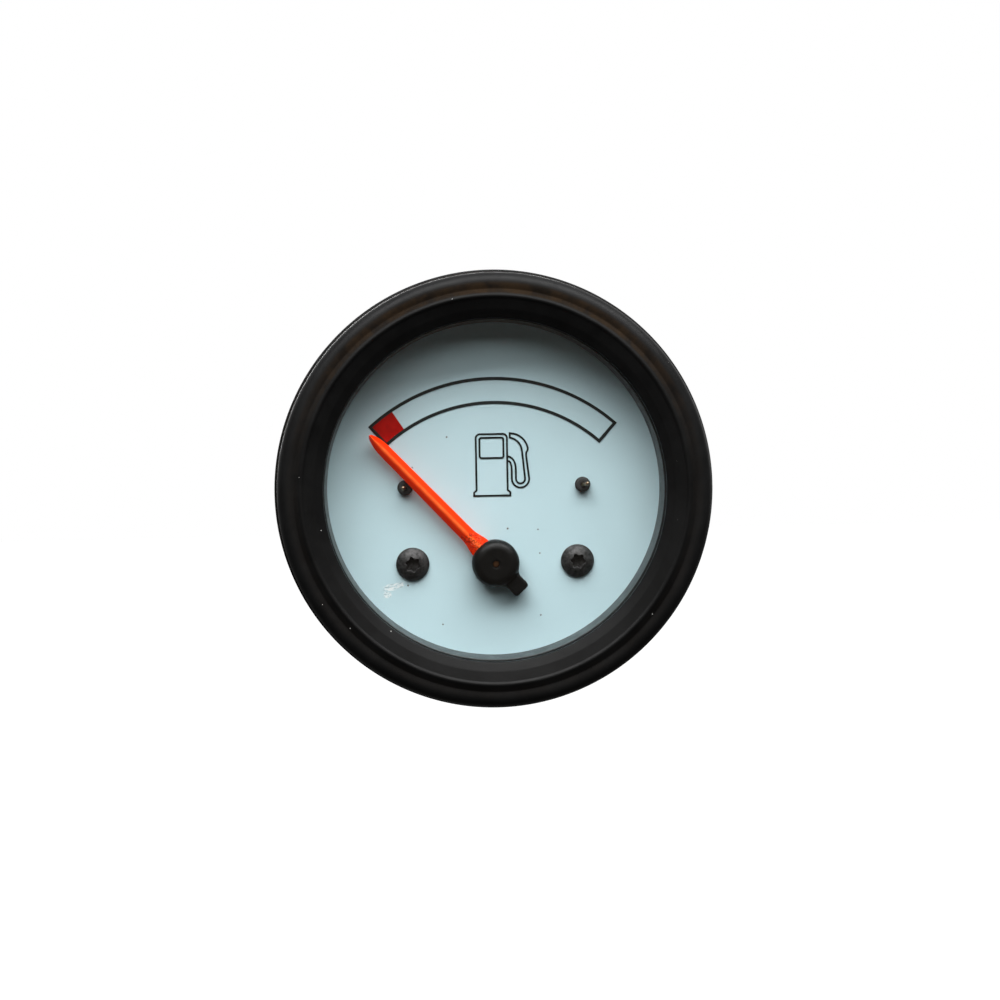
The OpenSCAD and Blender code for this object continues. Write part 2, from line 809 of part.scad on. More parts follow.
// Places its children at the three terminal blades
blade_tail_w = 2;
module at_blades() {
    for (i = [-1:1]) translate([i * blade_pitch, 0, -blade_drop]) children();
}

// The board carries the movement and is clamped under the studs' heads
module circuit_board() {
    board_w = 2 * (shield_r + 3.6);
    board_top = stud_d + 1;
    board_low = pz - shield_r + 1;
    corner = 2;
    color([0.1, 0.35, 0.2])
        difference() {
            intersection() {
                plate(board_y, board_end) {
                    translate([0, (board_top + board_low) / 2])
                        rounded(board_w, board_top - board_low, corner);
                    rounded(2 * (stud_x + stud_d), 2 * board_top, corner);
                }
                hole(case_in_r - 1, board_y, board_end);
            }
            at_studs() hole(stud_d / 2 + SNUG, board_y, board_end);
            translate([0, 0, pz]) at_pegs() hole(coil_pin_r, board_y, board_end);
            at_blades() opening(board_y, board_end)
                square([blade_tail_w + 2 * SNUG, blade_t + 2 * SNUG], center = true);
        }
}

// Two resistors lying on the back of the board, with bent leads
module resistors() {
    r = resistor_d / 2;
    half = 3.2;
    reach = 5;
    wire = 0.3;
    apart = 5.6;
    color([0.75, 0.62, 0.45])
        for (s = [-1, 1])
            translate([s * apart, board_end + r, 1]) {
                rotate([0, 90, 0]) cylinder(r = r, h = 2 * half, center = true);
                rotate([0, 90, 0]) cylinder(r = wire, h = 2 * reach - wire, center = true);
                for (e = [-1, 1]) translate([e * (reach - wire), 0, 0]) bar(wire, -r, wire);
            }
}

module case_shell() {
    inner_corner = case_corner - case_t;
    step = 0.4;
    window_h = 4.4;
    color([0.72, 0.7, 0.6])
        difference() {
            turned() polygon(concat(
                [[case_in_r, flange_front], [flange_r, flange_front], [flange_r, flange_back]],
                [[barrel_r, flange_back], [barrel_r, register_l], [body_r, register_l + step]],
                arc([body_r - case_corner, case_depth - case_corner], case_corner, 0, 90),
                [[0, case_depth], [0, wall_y]],
                arc([case_in_r - inner_corner, wall_y - inner_corner], inner_corner, 90, 0)
            ));
            at_studs() hole(stud_d / 2 + SNUG, wall_y, case_depth);
            translate([0, 0, lamp_rise]) hole(lamp_d / 2 + RUN, wall_y, case_depth);
            translate([0, 0, -blade_drop]) opening(wall_y, case_depth)
                rounded(2 * blade_pitch + blade_w + 2 * SNUG, window_h, 1);
            at_rivets() hole(rivet_d / 2, wall_y, case_depth);
        }
}

// Studs with hexagonal heads in front of the board
head_af = stud_d + 3;
module clamp_studs() {
    head_t = stud_d * 0.7;
    end_r = stud_d / 2 - 0.5;
    color([0.75, 0.75, 0.72])
        at_studs() {
            translate([0, board_y - head_t, 0]) rotate([-90, 30, 0])
                cylinder(r = head_af / sqrt(3), h = head_t, $fn = 6);
            turned() polygon([
                [0, board_y - EPS], [stud_d / 2, board_y - EPS],
                [stud_d / 2, stud_end - stud_d / 2 + end_r], [end_r, stud_end], [0, stud_end]
            ]);
        }
}

module spacer_tubes() {
    color([0.8, 0.8, 0.78]) at_studs() tube(stud_d / 2 + spacer_wall, stud_d / 2 + SNUG, board_end, wall_y);
}

module stud_washers() {
    color([0.72, 0.72, 0.7])
        at_studs() tube(stud_d / 2 + washer_rim, stud_d / 2 + SNUG, case_depth, case_depth + washer_t);
}

module stud_nuts() {
    y0 = case_depth + washer_t;
    color([0.72, 0.72, 0.7])
        at_studs() difference() {
            translate([0, y0, 0]) rotate([-90, 30, 0])
                cylinder(r = head_af / sqrt(3), h = nut_t, $fn = 6);
            hole(stud_d / 2, y0, y0 + nut_t);
        }
}

// Places its children at both rivets of the terminals' insulator
rivet_d = 1.8;
rivet_head_r = 1.4;
rivet_x = blade_pitch + blade_w / 2 + 2.4;
module at_rivets() {
    for (s = [-1, 1]) translate([s * rivet_x, 0, -blade_drop]) children();
}

// Insulator riveted over the window in the case's back
board_h = 6.4;
module terminal_board() {
    blade_slot = blade_w - 2;
    color([0.45, 0.28, 0.15])
        difference() {
            translate([0, 0, -blade_drop]) plate(case_depth, case_depth + insulator_t)
                rounded(2 * (rivet_x + 1.7), board_h, 1.2);
            at_rivets() hole(rivet_d / 2, case_depth, case_depth + insulator_t);
            at_blades() opening(case_depth, case_depth + insulator_t)
                square([blade_slot, blade_t], center = true);
        }
}

// Blade with a foot on the insulator, a hole near its end and a tail to the board
module terminal_blade() {
    foot_y = case_depth + insulator_t;
    tip_y = foot_y + blade_l;
    half = blade_w / 2;
    neck = half - 1;
    nose = 1.2;
    neck_y = wall_y - 1.5;
    tail = blade_tail_w / 2;
    foot_t = 0.8;
    foot_h = 2.6;
    eye_d = 1.7;
    eye_in = 3.2;
    difference() {
        union() {
            translate([0, 0, -blade_t / 2]) linear_extrude(height = blade_t) polygon([
                [-half, foot_y], [-half, tip_y - nose], [-half + 1, tip_y],
                [half - 1, tip_y], [half, tip_y - nose], [half, foot_y],
                [neck, foot_y], [neck, neck_y], [tail, neck_y], [tail, board_y],
                [-tail, board_y], [-tail, neck_y], [-neck, neck_y], [-neck, foot_y]
            ]);
            translate([0, foot_y + foot_t / 2, 0])
                cube([blade_w + 0.6, foot_t, foot_h], center = true);
        }
        translate([0, tip_y - eye_in, -blade_t]) cylinder(d = eye_d, h = 2 * blade_t);
    }
}

module terminal_blades() {
    color([0.8, 0.7, 0.45]) at_blades() terminal_blade();
}

module board_rivets() {
    y1 = case_depth + insulator_t;
    color([0.7, 0.7, 0.68])
        at_rivets() {
            bar(rivet_d / 2, wall_y - EPS, y1 + EPS);
            bar(rivet_head_r, y1, y1 + 0.7);
            bar(rivet_head_r, wall_y - 0.6, wall_y);
        }
}

// Places its children on the lamp's axis
lamp_in = 9;
lamp_out = 7;
contact_x = 2.6;
contact_w = 4.8;
module at_lamp() {
    translate([0, 0, lamp_rise]) children();
}

// Push-in lamp holder with a grip flange
module lamp_holder() {
    r = lamp_d / 2;
    lead_in = 0.5;
    rim = 1.3;
    y0 = case_depth - lamp_in;
    y1 = case_depth + lamp_flange_t;
    y2 = case_depth + lamp_out;
    color([0.85, 0.83, 0.75])
        at_lamp() difference() {
            turned() polygon([
                [lamp_bore_r, y0], [r - lead_in, y0], [r, y0 + 0.8], [r, case_depth],
                [r + rim, case_depth], [r + rim, y1], [r - 1, y1], [r - 1.4, y2 - lead_in],
                [r - 1.9, y2], [0, y2], [0, case_depth], [lamp_bore_r, case_depth]
            ]);
            for (s = [-1, 1])
                translate([s * contact_x, case_depth + lamp_out / 2, 0])
                    cube([blade_t, lamp_out + 2 * PAST, contact_w], center = true);
        }
}

module lamp_contacts() {
    half = contact_w / 2;
    nose = 1;
    y0 = case_depth;
    y1 = case_depth + lamp_out + contact_l;
    color([0.8, 0.7, 0.45])
        at_lamp() for (s = [-1, 1])
            translate([s * contact_x, 0, 0]) rotate([0, 90, 0])
                linear_extrude(height = blade_t, center = true) polygon([
                    [-half, y0], [-half, y1 - nose], [nose - half, y1],
                    [half - nose, y1], [half, y1 - nose], [half, y0]
                ]);
}

bulb_y = case_depth - lamp_in - 2;
bulb_l = 8;
module bulb_cap() {
    r = lamp_bore_r - RUN;
    button_r = 1.6;
    color([0.8, 0.75, 0.6])
        at_lamp() turned() polygon([
            [0, bulb_y], [r, bulb_y], [r, case_depth - 1.5], [button_r, case_depth - 0.6],
            [button_r, case_depth], [0, case_depth]
        ]);
}

module bulb_glass() {
    r = lamp_bore_r - 0.4;
    neck_r = r * 0.9;
    top = bulb_y - bulb_l;
    color([0.95, 0.95, 0.9, 0.5])
        at_lamp() turned() polygon(concat(
            [[0, top]], arc([0, top + r], r, -90, 0, 10), [[neck_r, bulb_y], [0, bulb_y]]
        ));
}

// A block along Z with both of its rear corners rounded, before it is drawn out
module u_block(half, y0, y1, r) {
    translate([-half, y0]) square([2 * half, y1 - y0 - r]);
    translate([r - half, y0]) square([2 * (half - r), y1 - y0]);
    for (s = [-1, 1]) translate([s * (half - r), y1 - r]) circle(r);
}

// Strip bent to a U: its legs run beside the case, and its back bears on the studs
module mounting_bracket() {
    bend_in = 1.5;
    notch_d = strip_w * 0.4;
    color([0.75, 0.73, 0.62])
        difference() {
            translate([0, 0, -strip_w / 2]) linear_extrude(height = strip_w) difference() {
                u_block(leg_x + strip_t, panel_room, bar_end, bend_in + strip_t);
                u_block(leg_x, panel_room - PAST, bar_y, bend_in);
            }
            at_studs() hole(stud_d / 2 + PASS, bar_y, bar_end);
            for (s = [-1, 1])
                translate([s * (leg_x + strip_t / 2), panel_room, 0]) rotate([0, 90, 0])
                    cylinder(d = notch_d, h = strip_t + 2 * PAST, center = true);
        }
}

module bracket_washers() {
    color([0.72, 0.72, 0.7]) at_studs() tube(knurl_d / 2, stud_d / 2 + PASS, bar_end, knurl_y);
}

// Nut with a fluted rim and a plain collar
module knurled_nut() {
    flutes = 24;
    flute_r = 0.36;
    flute_out = 0.12;
    collar_h = 1.2;
    r = knurl_d / 2;
    difference() {
        union() {
            bar(r - 0.8, knurl_y, knurl_y + knurl_h);
            difference() {
                bar(r, knurl_y + collar_h, knurl_y + knurl_h);
                for (i = [0:flutes - 1])
                    rotate([0, i * 360 / flutes, 0]) translate([r + flute_out, 0, 0])
                        bar(flute_r, knurl_y, knurl_y + knurl_h + PAST);
            }
        }
        hole(stud_d / 2 + RUN, knurl_y, knurl_y + knurl_h);
    }
}

module knurled_nut_left() {
    color([0.7, 0.7, 0.68]) translate([-stud_x, 0, 0]) knurled_nut();
}

module knurled_nut_right() {
    color([0.7, 0.7, 0.68]) translate([stud_x, 0, 0]) knurled_nut();
}

front_bezel();
lens_glass();
lens_gasket();
panel_gasket();
dial_shroud();
dial_plate();
scale_print();
red_zone_print();
pump_symbol_print();
dial_screws();
stop_pins();
pin_sleeves();
pointer_arm();
pointer_hub();
pointer_shaft();
rotor_magnet();
former_front();
former_rear();
shaft_bushes();
coil_inner();
coil_outer();
shield_ring();
coil_pins();
circuit_board();
resistors();
case_shell();
clamp_studs();
spacer_tubes();
stud_washers();
stud_nuts();
terminal_board();
terminal_blades();
board_rivets();
lamp_holder();
lamp_contacts();
bulb_cap();
bulb_glass();
mounting_bracket();
bracket_washers();
knurled_nut_left();
knurled_nut_right();
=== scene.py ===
"""Dashboard fuel gauge: the looks of its pieces, a white studio and the photograph's camera."""

import math

import bmesh
import bpy
import numpy as np
from mathutils import Matrix, Vector


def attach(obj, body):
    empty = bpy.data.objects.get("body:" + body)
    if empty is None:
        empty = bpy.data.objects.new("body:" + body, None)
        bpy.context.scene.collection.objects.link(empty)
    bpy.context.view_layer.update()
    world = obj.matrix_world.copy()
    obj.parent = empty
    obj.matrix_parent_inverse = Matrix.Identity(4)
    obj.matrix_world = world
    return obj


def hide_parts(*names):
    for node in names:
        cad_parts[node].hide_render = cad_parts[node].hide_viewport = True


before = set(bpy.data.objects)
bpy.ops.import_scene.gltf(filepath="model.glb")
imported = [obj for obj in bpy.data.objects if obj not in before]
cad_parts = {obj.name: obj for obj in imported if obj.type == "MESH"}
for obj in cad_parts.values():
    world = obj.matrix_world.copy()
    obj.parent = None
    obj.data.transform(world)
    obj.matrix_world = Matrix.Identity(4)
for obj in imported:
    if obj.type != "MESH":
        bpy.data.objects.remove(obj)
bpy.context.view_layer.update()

MM = 0.001
TAU = 2 * math.pi

# Planes along the axis in mm, as in the part's source; smaller is nearer the viewer
DIAL_Y = 0.3
GLASS_BACK = -3.3
GLASS_FRONT = -5.1
SHANK_END = 4.7
SPINDLE_FRONT = -2.45
SPINDLE_BACK = 13.2
BOARD_Y = 16.5
CASE_END = 34.0
STUD_END = 54.0
KNURL_Y = 44.6
KNURL_END = 50.6

# Radii and places in mm
RING_R = 30.0
OPENING_R = 23.3
SEAT_R = 26.8
GLASS_R = 26.05
PIVOT_X = 0.0
PIVOT_Z = -10.15
SCREW_X = 11.4
SHANK_R = 1.1
SPINDLE_R = 0.5
PIN_ORBIT = 16.2
PIN_R = 0.3
ARM_HALF = 1.0
STOP_GAP = 0.3
STUD_X = 16.0
STUD_R = 2.0
FLATS = 7.0

# Heights of the undersides of the arm and the hub above the dial in mm
ARM_LIFT = 1.05
HUB_LIFT = 0.6

# The pointer's travel, and where the stop pins stand on either side of upright
SWEEP = math.radians(87)
PIN_ANGLE = SWEEP / 2 + math.asin((ARM_HALF + STOP_GAP + PIN_R) / PIN_ORBIT)

# A grid's end row narrower than this, in mm, is a pole
POLE_WIDTH = 1e-9

# Distance in metres and angle below which the CAD surface's points and faces are joined, and
# the angle above which its edges are rounded
SAME_POINT = 2e-6
SAME_PLANE = math.radians(0.5)
ROUND_ABOVE = math.radians(35)


# Surfaces


def grid_object(name, grid, loop_rows=False):
    """Closed surface over a grid of points in mm.

    Each point is joined to the next column, which closes round, and to the next row. The rows
    close round too if loop_rows, and otherwise the first and the last row are poles or flat ends.
    """
    rows, columns = grid.shape[:2]
    ids = np.arange(rows * columns).reshape(rows, columns)
    if not loop_rows:
        for end in (0, rows - 1):
            if np.ptp(grid[end], axis=0).max() < POLE_WIDTH:
                ids[end] = ids[end, 0]
    upper = ids if loop_rows else ids[:-1]
    lower = np.roll(ids, -1, axis=0) if loop_rows else ids[1:]
    quads = np.stack(
        [upper, np.roll(upper, -1, 1), np.roll(lower, -1, 1), lower], -1
    ).reshape(-1, 4)
    used, quads = np.unique(quads, return_inverse=True)
    quads = quads.reshape(-1, 4)
    points = grid.reshape(-1, 3)[used]
    a, b, c, d = (points[quads[:, i]] for i in range(4))
    volume = (a * np.cross(b, c)).sum() + (a * np.cross(c, d)).sum()
    if volume < 0:
        quads = quads[:, ::-1]
    first = quads[:, 0] == quads[:, 1]
    second = quads[:, 1] == quads[:, 2]
    third = quads[:, 2] == quads[:, 3]
    fourth = quads[:, 3] == quads[:, 0]
    whole = ~(first | second | third | fourth)
    faces = quads[whole].tolist()
    faces += quads[first | second][:, [0, 2, 3]].tolist()
    faces += quads[(third | fourth) & ~(first | second)][:, [0, 1, 2]].tolist()
    mesh = bpy.data.meshes.new(name)
    mesh.from_pydata((points * MM).tolist(), [], faces)
    mesh.update()
    piece = bpy.data.objects.new(name, mesh)
    bpy.context.scene.collection.objects.link(piece)
    return piece


def joined(name, parts):
    """One object out of several that belong to one piece."""
    mesh = bpy.data.meshes.new(name)
    work = bmesh.new()
    for part in parts:
        work.from_mesh(part.data)
        spent = part.data
        bpy.data.objects.remove(part)
        bpy.data.meshes.remove(spent)
    work.to_mesh(mesh)
    work.free()
    piece = bpy.data.objects.new(name, mesh)
    bpy.context.scene.collection.objects.link(piece)
    return piece


def corner_arcs(corners, steps=5):
    """Closed outline whose corners (a, b, radius) become arcs; straight ones stay points.

    The arc's centre lies on the corner's bisector at radius / sin(half the corner's angle), and it
    touches both sides at radius / tan(half the angle) from the corner.
    """
    straight = math.radians(89)
    corners = np.array(corners, float)
    outline = []
    for i, (a, b, radius) in enumerate(corners):
        here = np.array([a, b])
        back = corners[i - 1, :2] - here
        on = corners[(i + 1) % len(corners), :2] - here
        back /= np.linalg.norm(back)
        on /= np.linalg.norm(on)
        half = math.acos(np.clip(back @ on, -1, 1)) / 2
        if radius <= 0 or half > straight:
            outline.append(here[None])
            continue
        centre = here + (back + on) / np.linalg.norm(back + on) * radius / math.sin(half)
        ends = [here + side * radius / math.tan(half) - centre for side in (back, on)]
        start, stop = (math.atan2(v, u) for u, v in ends)
        turn = (stop - start + math.pi) % TAU - math.pi
        angle = start + turn * np.linspace(0, 1, steps + 1)
        outline.append(centre + radius * np.stack([np.cos(angle), np.sin(angle)], 1))
    return np.vstack(outline)


def row_arrays(rows, t):
    """Rows of two values, each a number or an array over the angles t, as two arrays."""
    return (np.array([row[i] + 0 * t for row in rows]) for i in (0, 1))


def lathe(name, outline, x=0.0, z=0.0, turns=256, loop=True):
    """Surface of revolution: (r, y) of the outline goes to (x + r sin t, y, z + r cos t)."""
    r, y = outline.T[:, :, None]
    t = np.arange(turns) * TAU / turns
    grid = np.stack([x + r * np.sin(t), y + 0 * t, z + r * np.cos(t)], -1)
    return grid_object(name, grid, loop)


def swept_wire(name, path, radius):
    """Round wire: circles of the radius, square to the path's direction, with domed ends."""
    path = np.array(path, float)
    forward = np.gradient(path, axis=0)
    forward /= np.linalg.norm(forward, axis=1)[:, None]
    side = np.cross(forward, [0.31, 0.17, 0.93])
    side /= np.linalg.norm(side, axis=1)[:, None]
    up = np.cross(forward, side)
    columns, dome_rows, last = 20, 5, len(path) - 1
    t = np.arange(columns) * TAU / columns
    dome = np.sin(np.linspace(0, math.pi / 2, dome_rows))
    lift = np.cos(np.linspace(0, math.pi / 2, dome_rows))
    size = np.r_[dome, np.ones(last - 1), dome[::-1]] * radius
    shift = np.r_[-lift, np.zeros(last - 1), lift[::-1]] * radius
    at = np.r_[np.zeros(dome_rows, int), np.arange(1, last), np.full(dome_rows, last)]
    middle = path[at] + forward[at] * shift[:, None]
    ring = side[at][:, None] * np.cos(t)[:, None] + up[at][:, None] * np.sin(t)[:, None]
    return grid_object(name, middle[:, None] + size[:, None, None] * ring)


def merged_copy(node):
    """The CAD node's surface with its loose triangles merged and its flat ones joined up."""
    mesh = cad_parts[node].data.copy()
    mesh.materials.clear()
    work = bmesh.new()
    work.from_mesh(mesh)
    bmesh.ops.remove_doubles(work, verts=work.verts, dist=SAME_POINT)
    bmesh.ops.dissolve_limit(
        work, angle_limit=SAME_PLANE, verts=work.verts, edges=work.edges
    )
    work.to_mesh(mesh)
    work.free()
    piece = bpy.data.objects.new(node + "_finished", mesh)
    bpy.context.scene.collection.objects.link(piece)
    return piece


def round_edges(piece, width):
    """Rounds every edge sharper than ROUND_ABOVE, by the width in mm."""
    bevel = piece.modifiers.new("rounded edges", "BEVEL")
    bevel.width = width * MM
    bevel.segments = 2
    bevel.limit_method = "ANGLE"
    bevel.angle_limit = ROUND_ABOVE


def dress(piece, material, body, nodes, sharp=40):
    """Gives a piece its finish and its body, and hides the CAD nodes that it stands for.

    Where no edges are rounded, those above the sharp angle in degrees stay sharp.
    """
    piece.data.materials.clear()
    piece.data.materials.append(material)
    piece.data.shade_smooth()
    if not piece.modifiers:
        piece.data.set_sharp_from_angle(angle=math.radians(sharp))
    flat = piece.modifiers.new("flat faces stay flat", "WEIGHTED_NORMAL")
    flat.keep_sharp = True
    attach(piece, body)
    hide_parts(*nodes)


# Shader nodes and groups


def fill(tree, node, inputs):
    """Sets each input to a value or links it to a socket; the key i6 stands for input number 6."""
    for key, value in inputs.items():
        number = key.removeprefix("i")
        socket = node.inputs[int(number) if number.isdigit() else key.replace("_", " ")]
        if isinstance(value, bpy.types.NodeSocket):
            tree.links.new(value, socket)
        else:
            socket.default_value = value


def add(tree, kind, settings=None, **inputs):
    """A new node with its settings and inputs."""
    node = tree.nodes.new(kind)
    for key, value in (settings or {}).items():
        setattr(node, key, value)
    fill(tree, node, inputs)
    return node


def calc(tree, operation, a, b=0.0, clamp=False):
    """A Math node's result."""
    settings = {"operation": operation, "use_clamp": clamp}
    return add(tree, "ShaderNodeMath", settings, i0=a, i1=b).outputs[0]


def times(tree, a, b):
    """The product of two values."""
    return calc(tree, "MULTIPLY", a, b)


def ramp(tree, value, low, high, to_low=0.0, to_high=1.0, smooth=True):
    """A value mapped from low..high to to_low..to_high, clamped, with soft ends if smooth."""
    node = add(
        tree, "ShaderNodeMapRange", {"interpolation_type": "SMOOTHSTEP" if smooth else "LINEAR"},
        Value=value, From_Min=low, From_Max=high, To_Min=to_low, To_Max=to_high,
    )
    return node.outputs["Result"]


def band(tree, value, start, full, still_full, end):
    """1 between the two middle values, falling to 0 at the start and at the end."""
    return times(tree, ramp(tree, value, start, full), ramp(tree, value, end, still_full))


def with_alpha(rgb):
    """A plain colour with full alpha; a socket stays as it is."""
    return (*rgb, 1.0) if isinstance(rgb, tuple) else rgb


def scaled(rgb, factor):
    """A colour made lighter or darker."""
    return tuple(min(1.0, part * factor) for part in rgb)


def mix_colour(tree, share, first, second):
    """Two colours mixed by a share."""
    node = add(
        tree, "ShaderNodeMix", {"data_type": "RGBA"},
        i0=share, i6=with_alpha(first), i7=with_alpha(second),
    )
    return node.outputs[2]


def noise(tree, place, scale, detail=2.0, roughness=0.5):
    """Noise about 0.5; the detail and the roughness are its finer shares."""
    node = add(
        tree, "ShaderNodeTexNoise",
        Vector=place, Scale=scale, Detail=detail, Roughness=roughness,
    )
    return node.outputs["Fac"]


def stretched(tree, place, factors):
    """A place multiplied by a factor along each axis."""
    node = add(tree, "ShaderNodeVectorMath", {"operation": "MULTIPLY"}, i0=place, i1=factors)
    return node.outputs[0]


def length(tree, place):
    """Distance of a place from the origin, in metres."""
    node = add(tree, "ShaderNodeVectorMath", {"operation": "LENGTH"}, i0=place)
    return node.outputs["Value"]


def along(tree, place, axis):
    """One coordinate of a place."""
    return add(tree, "ShaderNodeSeparateXYZ", Vector=place).outputs[axis]


def new_group(name, output, **inputs):
    """An empty shader group: its tree, its input sockets and its one output.

    It has a Vector input and the named ones with their defaults.
    """
    tree = bpy.data.node_groups.new(name, "ShaderNodeTree")
    for label, value in {"Vector": (0.0, 0.0, 0.0), **inputs}.items():
        kind = "NodeSocketFloat" if isinstance(value, float) else "NodeSocketVector"
        socket = tree.interface.new_socket(name=label, in_out="INPUT", socket_type=kind)
        socket.default_value = value
    tree.interface.new_socket(name=output, in_out="OUTPUT", socket_type="NodeSocketFloat")
    given = tree.nodes.new("NodeGroupInput").outputs
    return tree, given, tree.nodes.new("NodeGroupOutput").inputs[0]


def patchy_group():
    """Cloudy variation between two values: broad noise plus a finer share of it."""
    tree, given, result = new_group("patchy tone", "Value", Size=200.0, Low=0.0, High=1.0)
    cloud = noise(tree, given["Vector"], given["Size"], 5.0, 0.62)
    tree.links.new(ramp(tree, cloud, 0.3, 0.7, given["Low"], given["High"]), result)
    return tree


def grain_group():
    """Fine even grain as a height: small noise cells."""
    tree, given, result = new_group("fine grain", "Height", Size=6000.0)
    tree.links.new(noise(tree, given["Vector"], given["Size"], 3.0, 0.55), result)
    return tree


def dust_group():
    """Specks: a share of the cells of a cell pattern each hold one small dot of uneven size."""
    tree, given, result = new_group("dust specks", "Mask", Size=900.0, Share=0.1, Dot=0.12)
    cells = add(tree, "ShaderNodeTexVoronoi", Vector=given["Vector"], Scale=given["Size"])
    pick = add(tree, "ShaderNodeSeparateColor", Color=cells.outputs["Color"])
    chosen = calc(tree, "LESS_THAN", pick.outputs[0], given["Share"])
    size = times(tree, given["Dot"], ramp(tree, pick.outputs[1], 0.0, 1.0, 0.35, 1.0))
    inside = calc(tree, "LESS_THAN", cells.outputs["Distance"], size)
    tree.links.new(times(tree, chosen, inside), result)
    return tree


def lines_group():
    """Thin rubbed lines: noise drawn out across Z and cut off near its middle value."""
    tree, given, result = new_group("rubbed lines", "Mask", Width=0.02)
    drawn = noise(tree, stretched(tree, given["Vector"], (300.0, 300.0, 9000.0)), 1.0)
    off = calc(tree, "ABSOLUTE", calc(tree, "SUBTRACT", drawn, 0.5))
    inner = calc(tree, "LESS_THAN", off, given["Width"])
    patches = ramp(tree, noise(tree, given["Vector"], 260.0), 0.5, 0.7)
    tree.links.new(times(tree, inner, patches), result)
    return tree


def spot_group():
    """One soft spot: 1 within the radius of a centre, falling to 0, its edge broken by noise."""
    tree, given, result = new_group(
        "single spot", "Mask", Centre=(0.0, 0.0, 0.0), Radius=0.0005, Ragged=0.5, Fine=4000.0
    )
    away = add(
        tree, "ShaderNodeVectorMath", {"operation": "DISTANCE"},
        i0=given["Vector"], i1=given["Centre"],
    )
    share = calc(tree, "DIVIDE", away.outputs["Value"], given["Radius"])
    broken = calc(tree, "SUBTRACT", noise(tree, given["Vector"], given["Fine"], 3.0), 0.5)
    share = calc(tree, "ADD", share, times(tree, broken, given["Ragged"]))
    tree.links.new(ramp(tree, share, 1.1, 0.8), result)
    return tree


PATCHY, GRAIN, DUST = patchy_group(), grain_group(), dust_group()
LINES, SPOT = lines_group(), spot_group()


def use(tree, group, place, **inputs):
    """A group's output at a place, with its other inputs set."""
    node = tree.nodes.new("ShaderNodeGroup")
    node.node_tree = group
    fill(tree, node, {"Vector": place, **inputs})
    return node.outputs[0]


# Materials


def blank(name, **inputs):
    """A new material with its tree and its Principled node, whose inputs are set."""
    material = bpy.data.materials.new(name)
    material.use_nodes = True
    tree = material.node_tree
    shader = tree.nodes["Principled BSDF"]
    fill(tree, shader, inputs)
    return material, tree, shader


def start(name, **inputs):
    """As blank, with the material's Object coordinates too."""
    material, tree, shader = blank(name, **inputs)
    return material, tree, shader, tree.nodes.new("ShaderNodeTexCoord").outputs["Object"]


def skin(tree, shader, base, rough, height, strength, depth=2e-5):
    """Links base colour, roughness and relief (a height times a depth in metres) to the shader."""
    relief = add(tree, "ShaderNodeBump", Height=height, Strength=strength, Distance=depth)
    normal = relief.outputs["Normal"]
    fill(tree, shader, {"Base Color": base, "Roughness": rough, "Normal": normal})


def finish(
    name, rgb, rough, metallic=0.0, patch=150.0, tone=(0.85, 1.12), grain=5000.0, relief=0.15,
    dust=0.0, dust_rgb=None, lines=0.0, specular=0.5, tarnish=None,
):
    """A plain finish: cloudy tone and roughness, fine grain, dust specks and rubbed lines.

    The tarnish is the darker tone of the parts in front of the dial.
    """
    material, tree, shader, place = start(name, Metallic=metallic, Specular_IOR_Level=specular)
    cloud = use(tree, PATCHY, place, Size=patch)
    base = mix_colour(tree, cloud, scaled(rgb, tone[0]), scaled(rgb, tone[1]))
    surface = use(tree, PATCHY, place, Size=patch * 2.3, Low=rough[0], High=rough[1])
    if lines:
        base = mix_colour(tree, use(tree, LINES, place, Width=lines), base, scaled(rgb, 1.5))
    if tarnish:
        in_front = ramp(tree, along(tree, place, "Y"), 0.2 * MM, -0.2 * MM)
        base = mix_colour(tree, in_front, base, tarnish)
    if dust:
        specks = use(tree, DUST, place, Share=dust)
        base = mix_colour(tree, specks, base, dust_rgb)
        surface = calc(tree, "ADD", surface, times(tree, specks, 0.4), clamp=True)
    skin(tree, shader, base, surface, use(tree, GRAIN, place, Size=grain), relief)
    return material


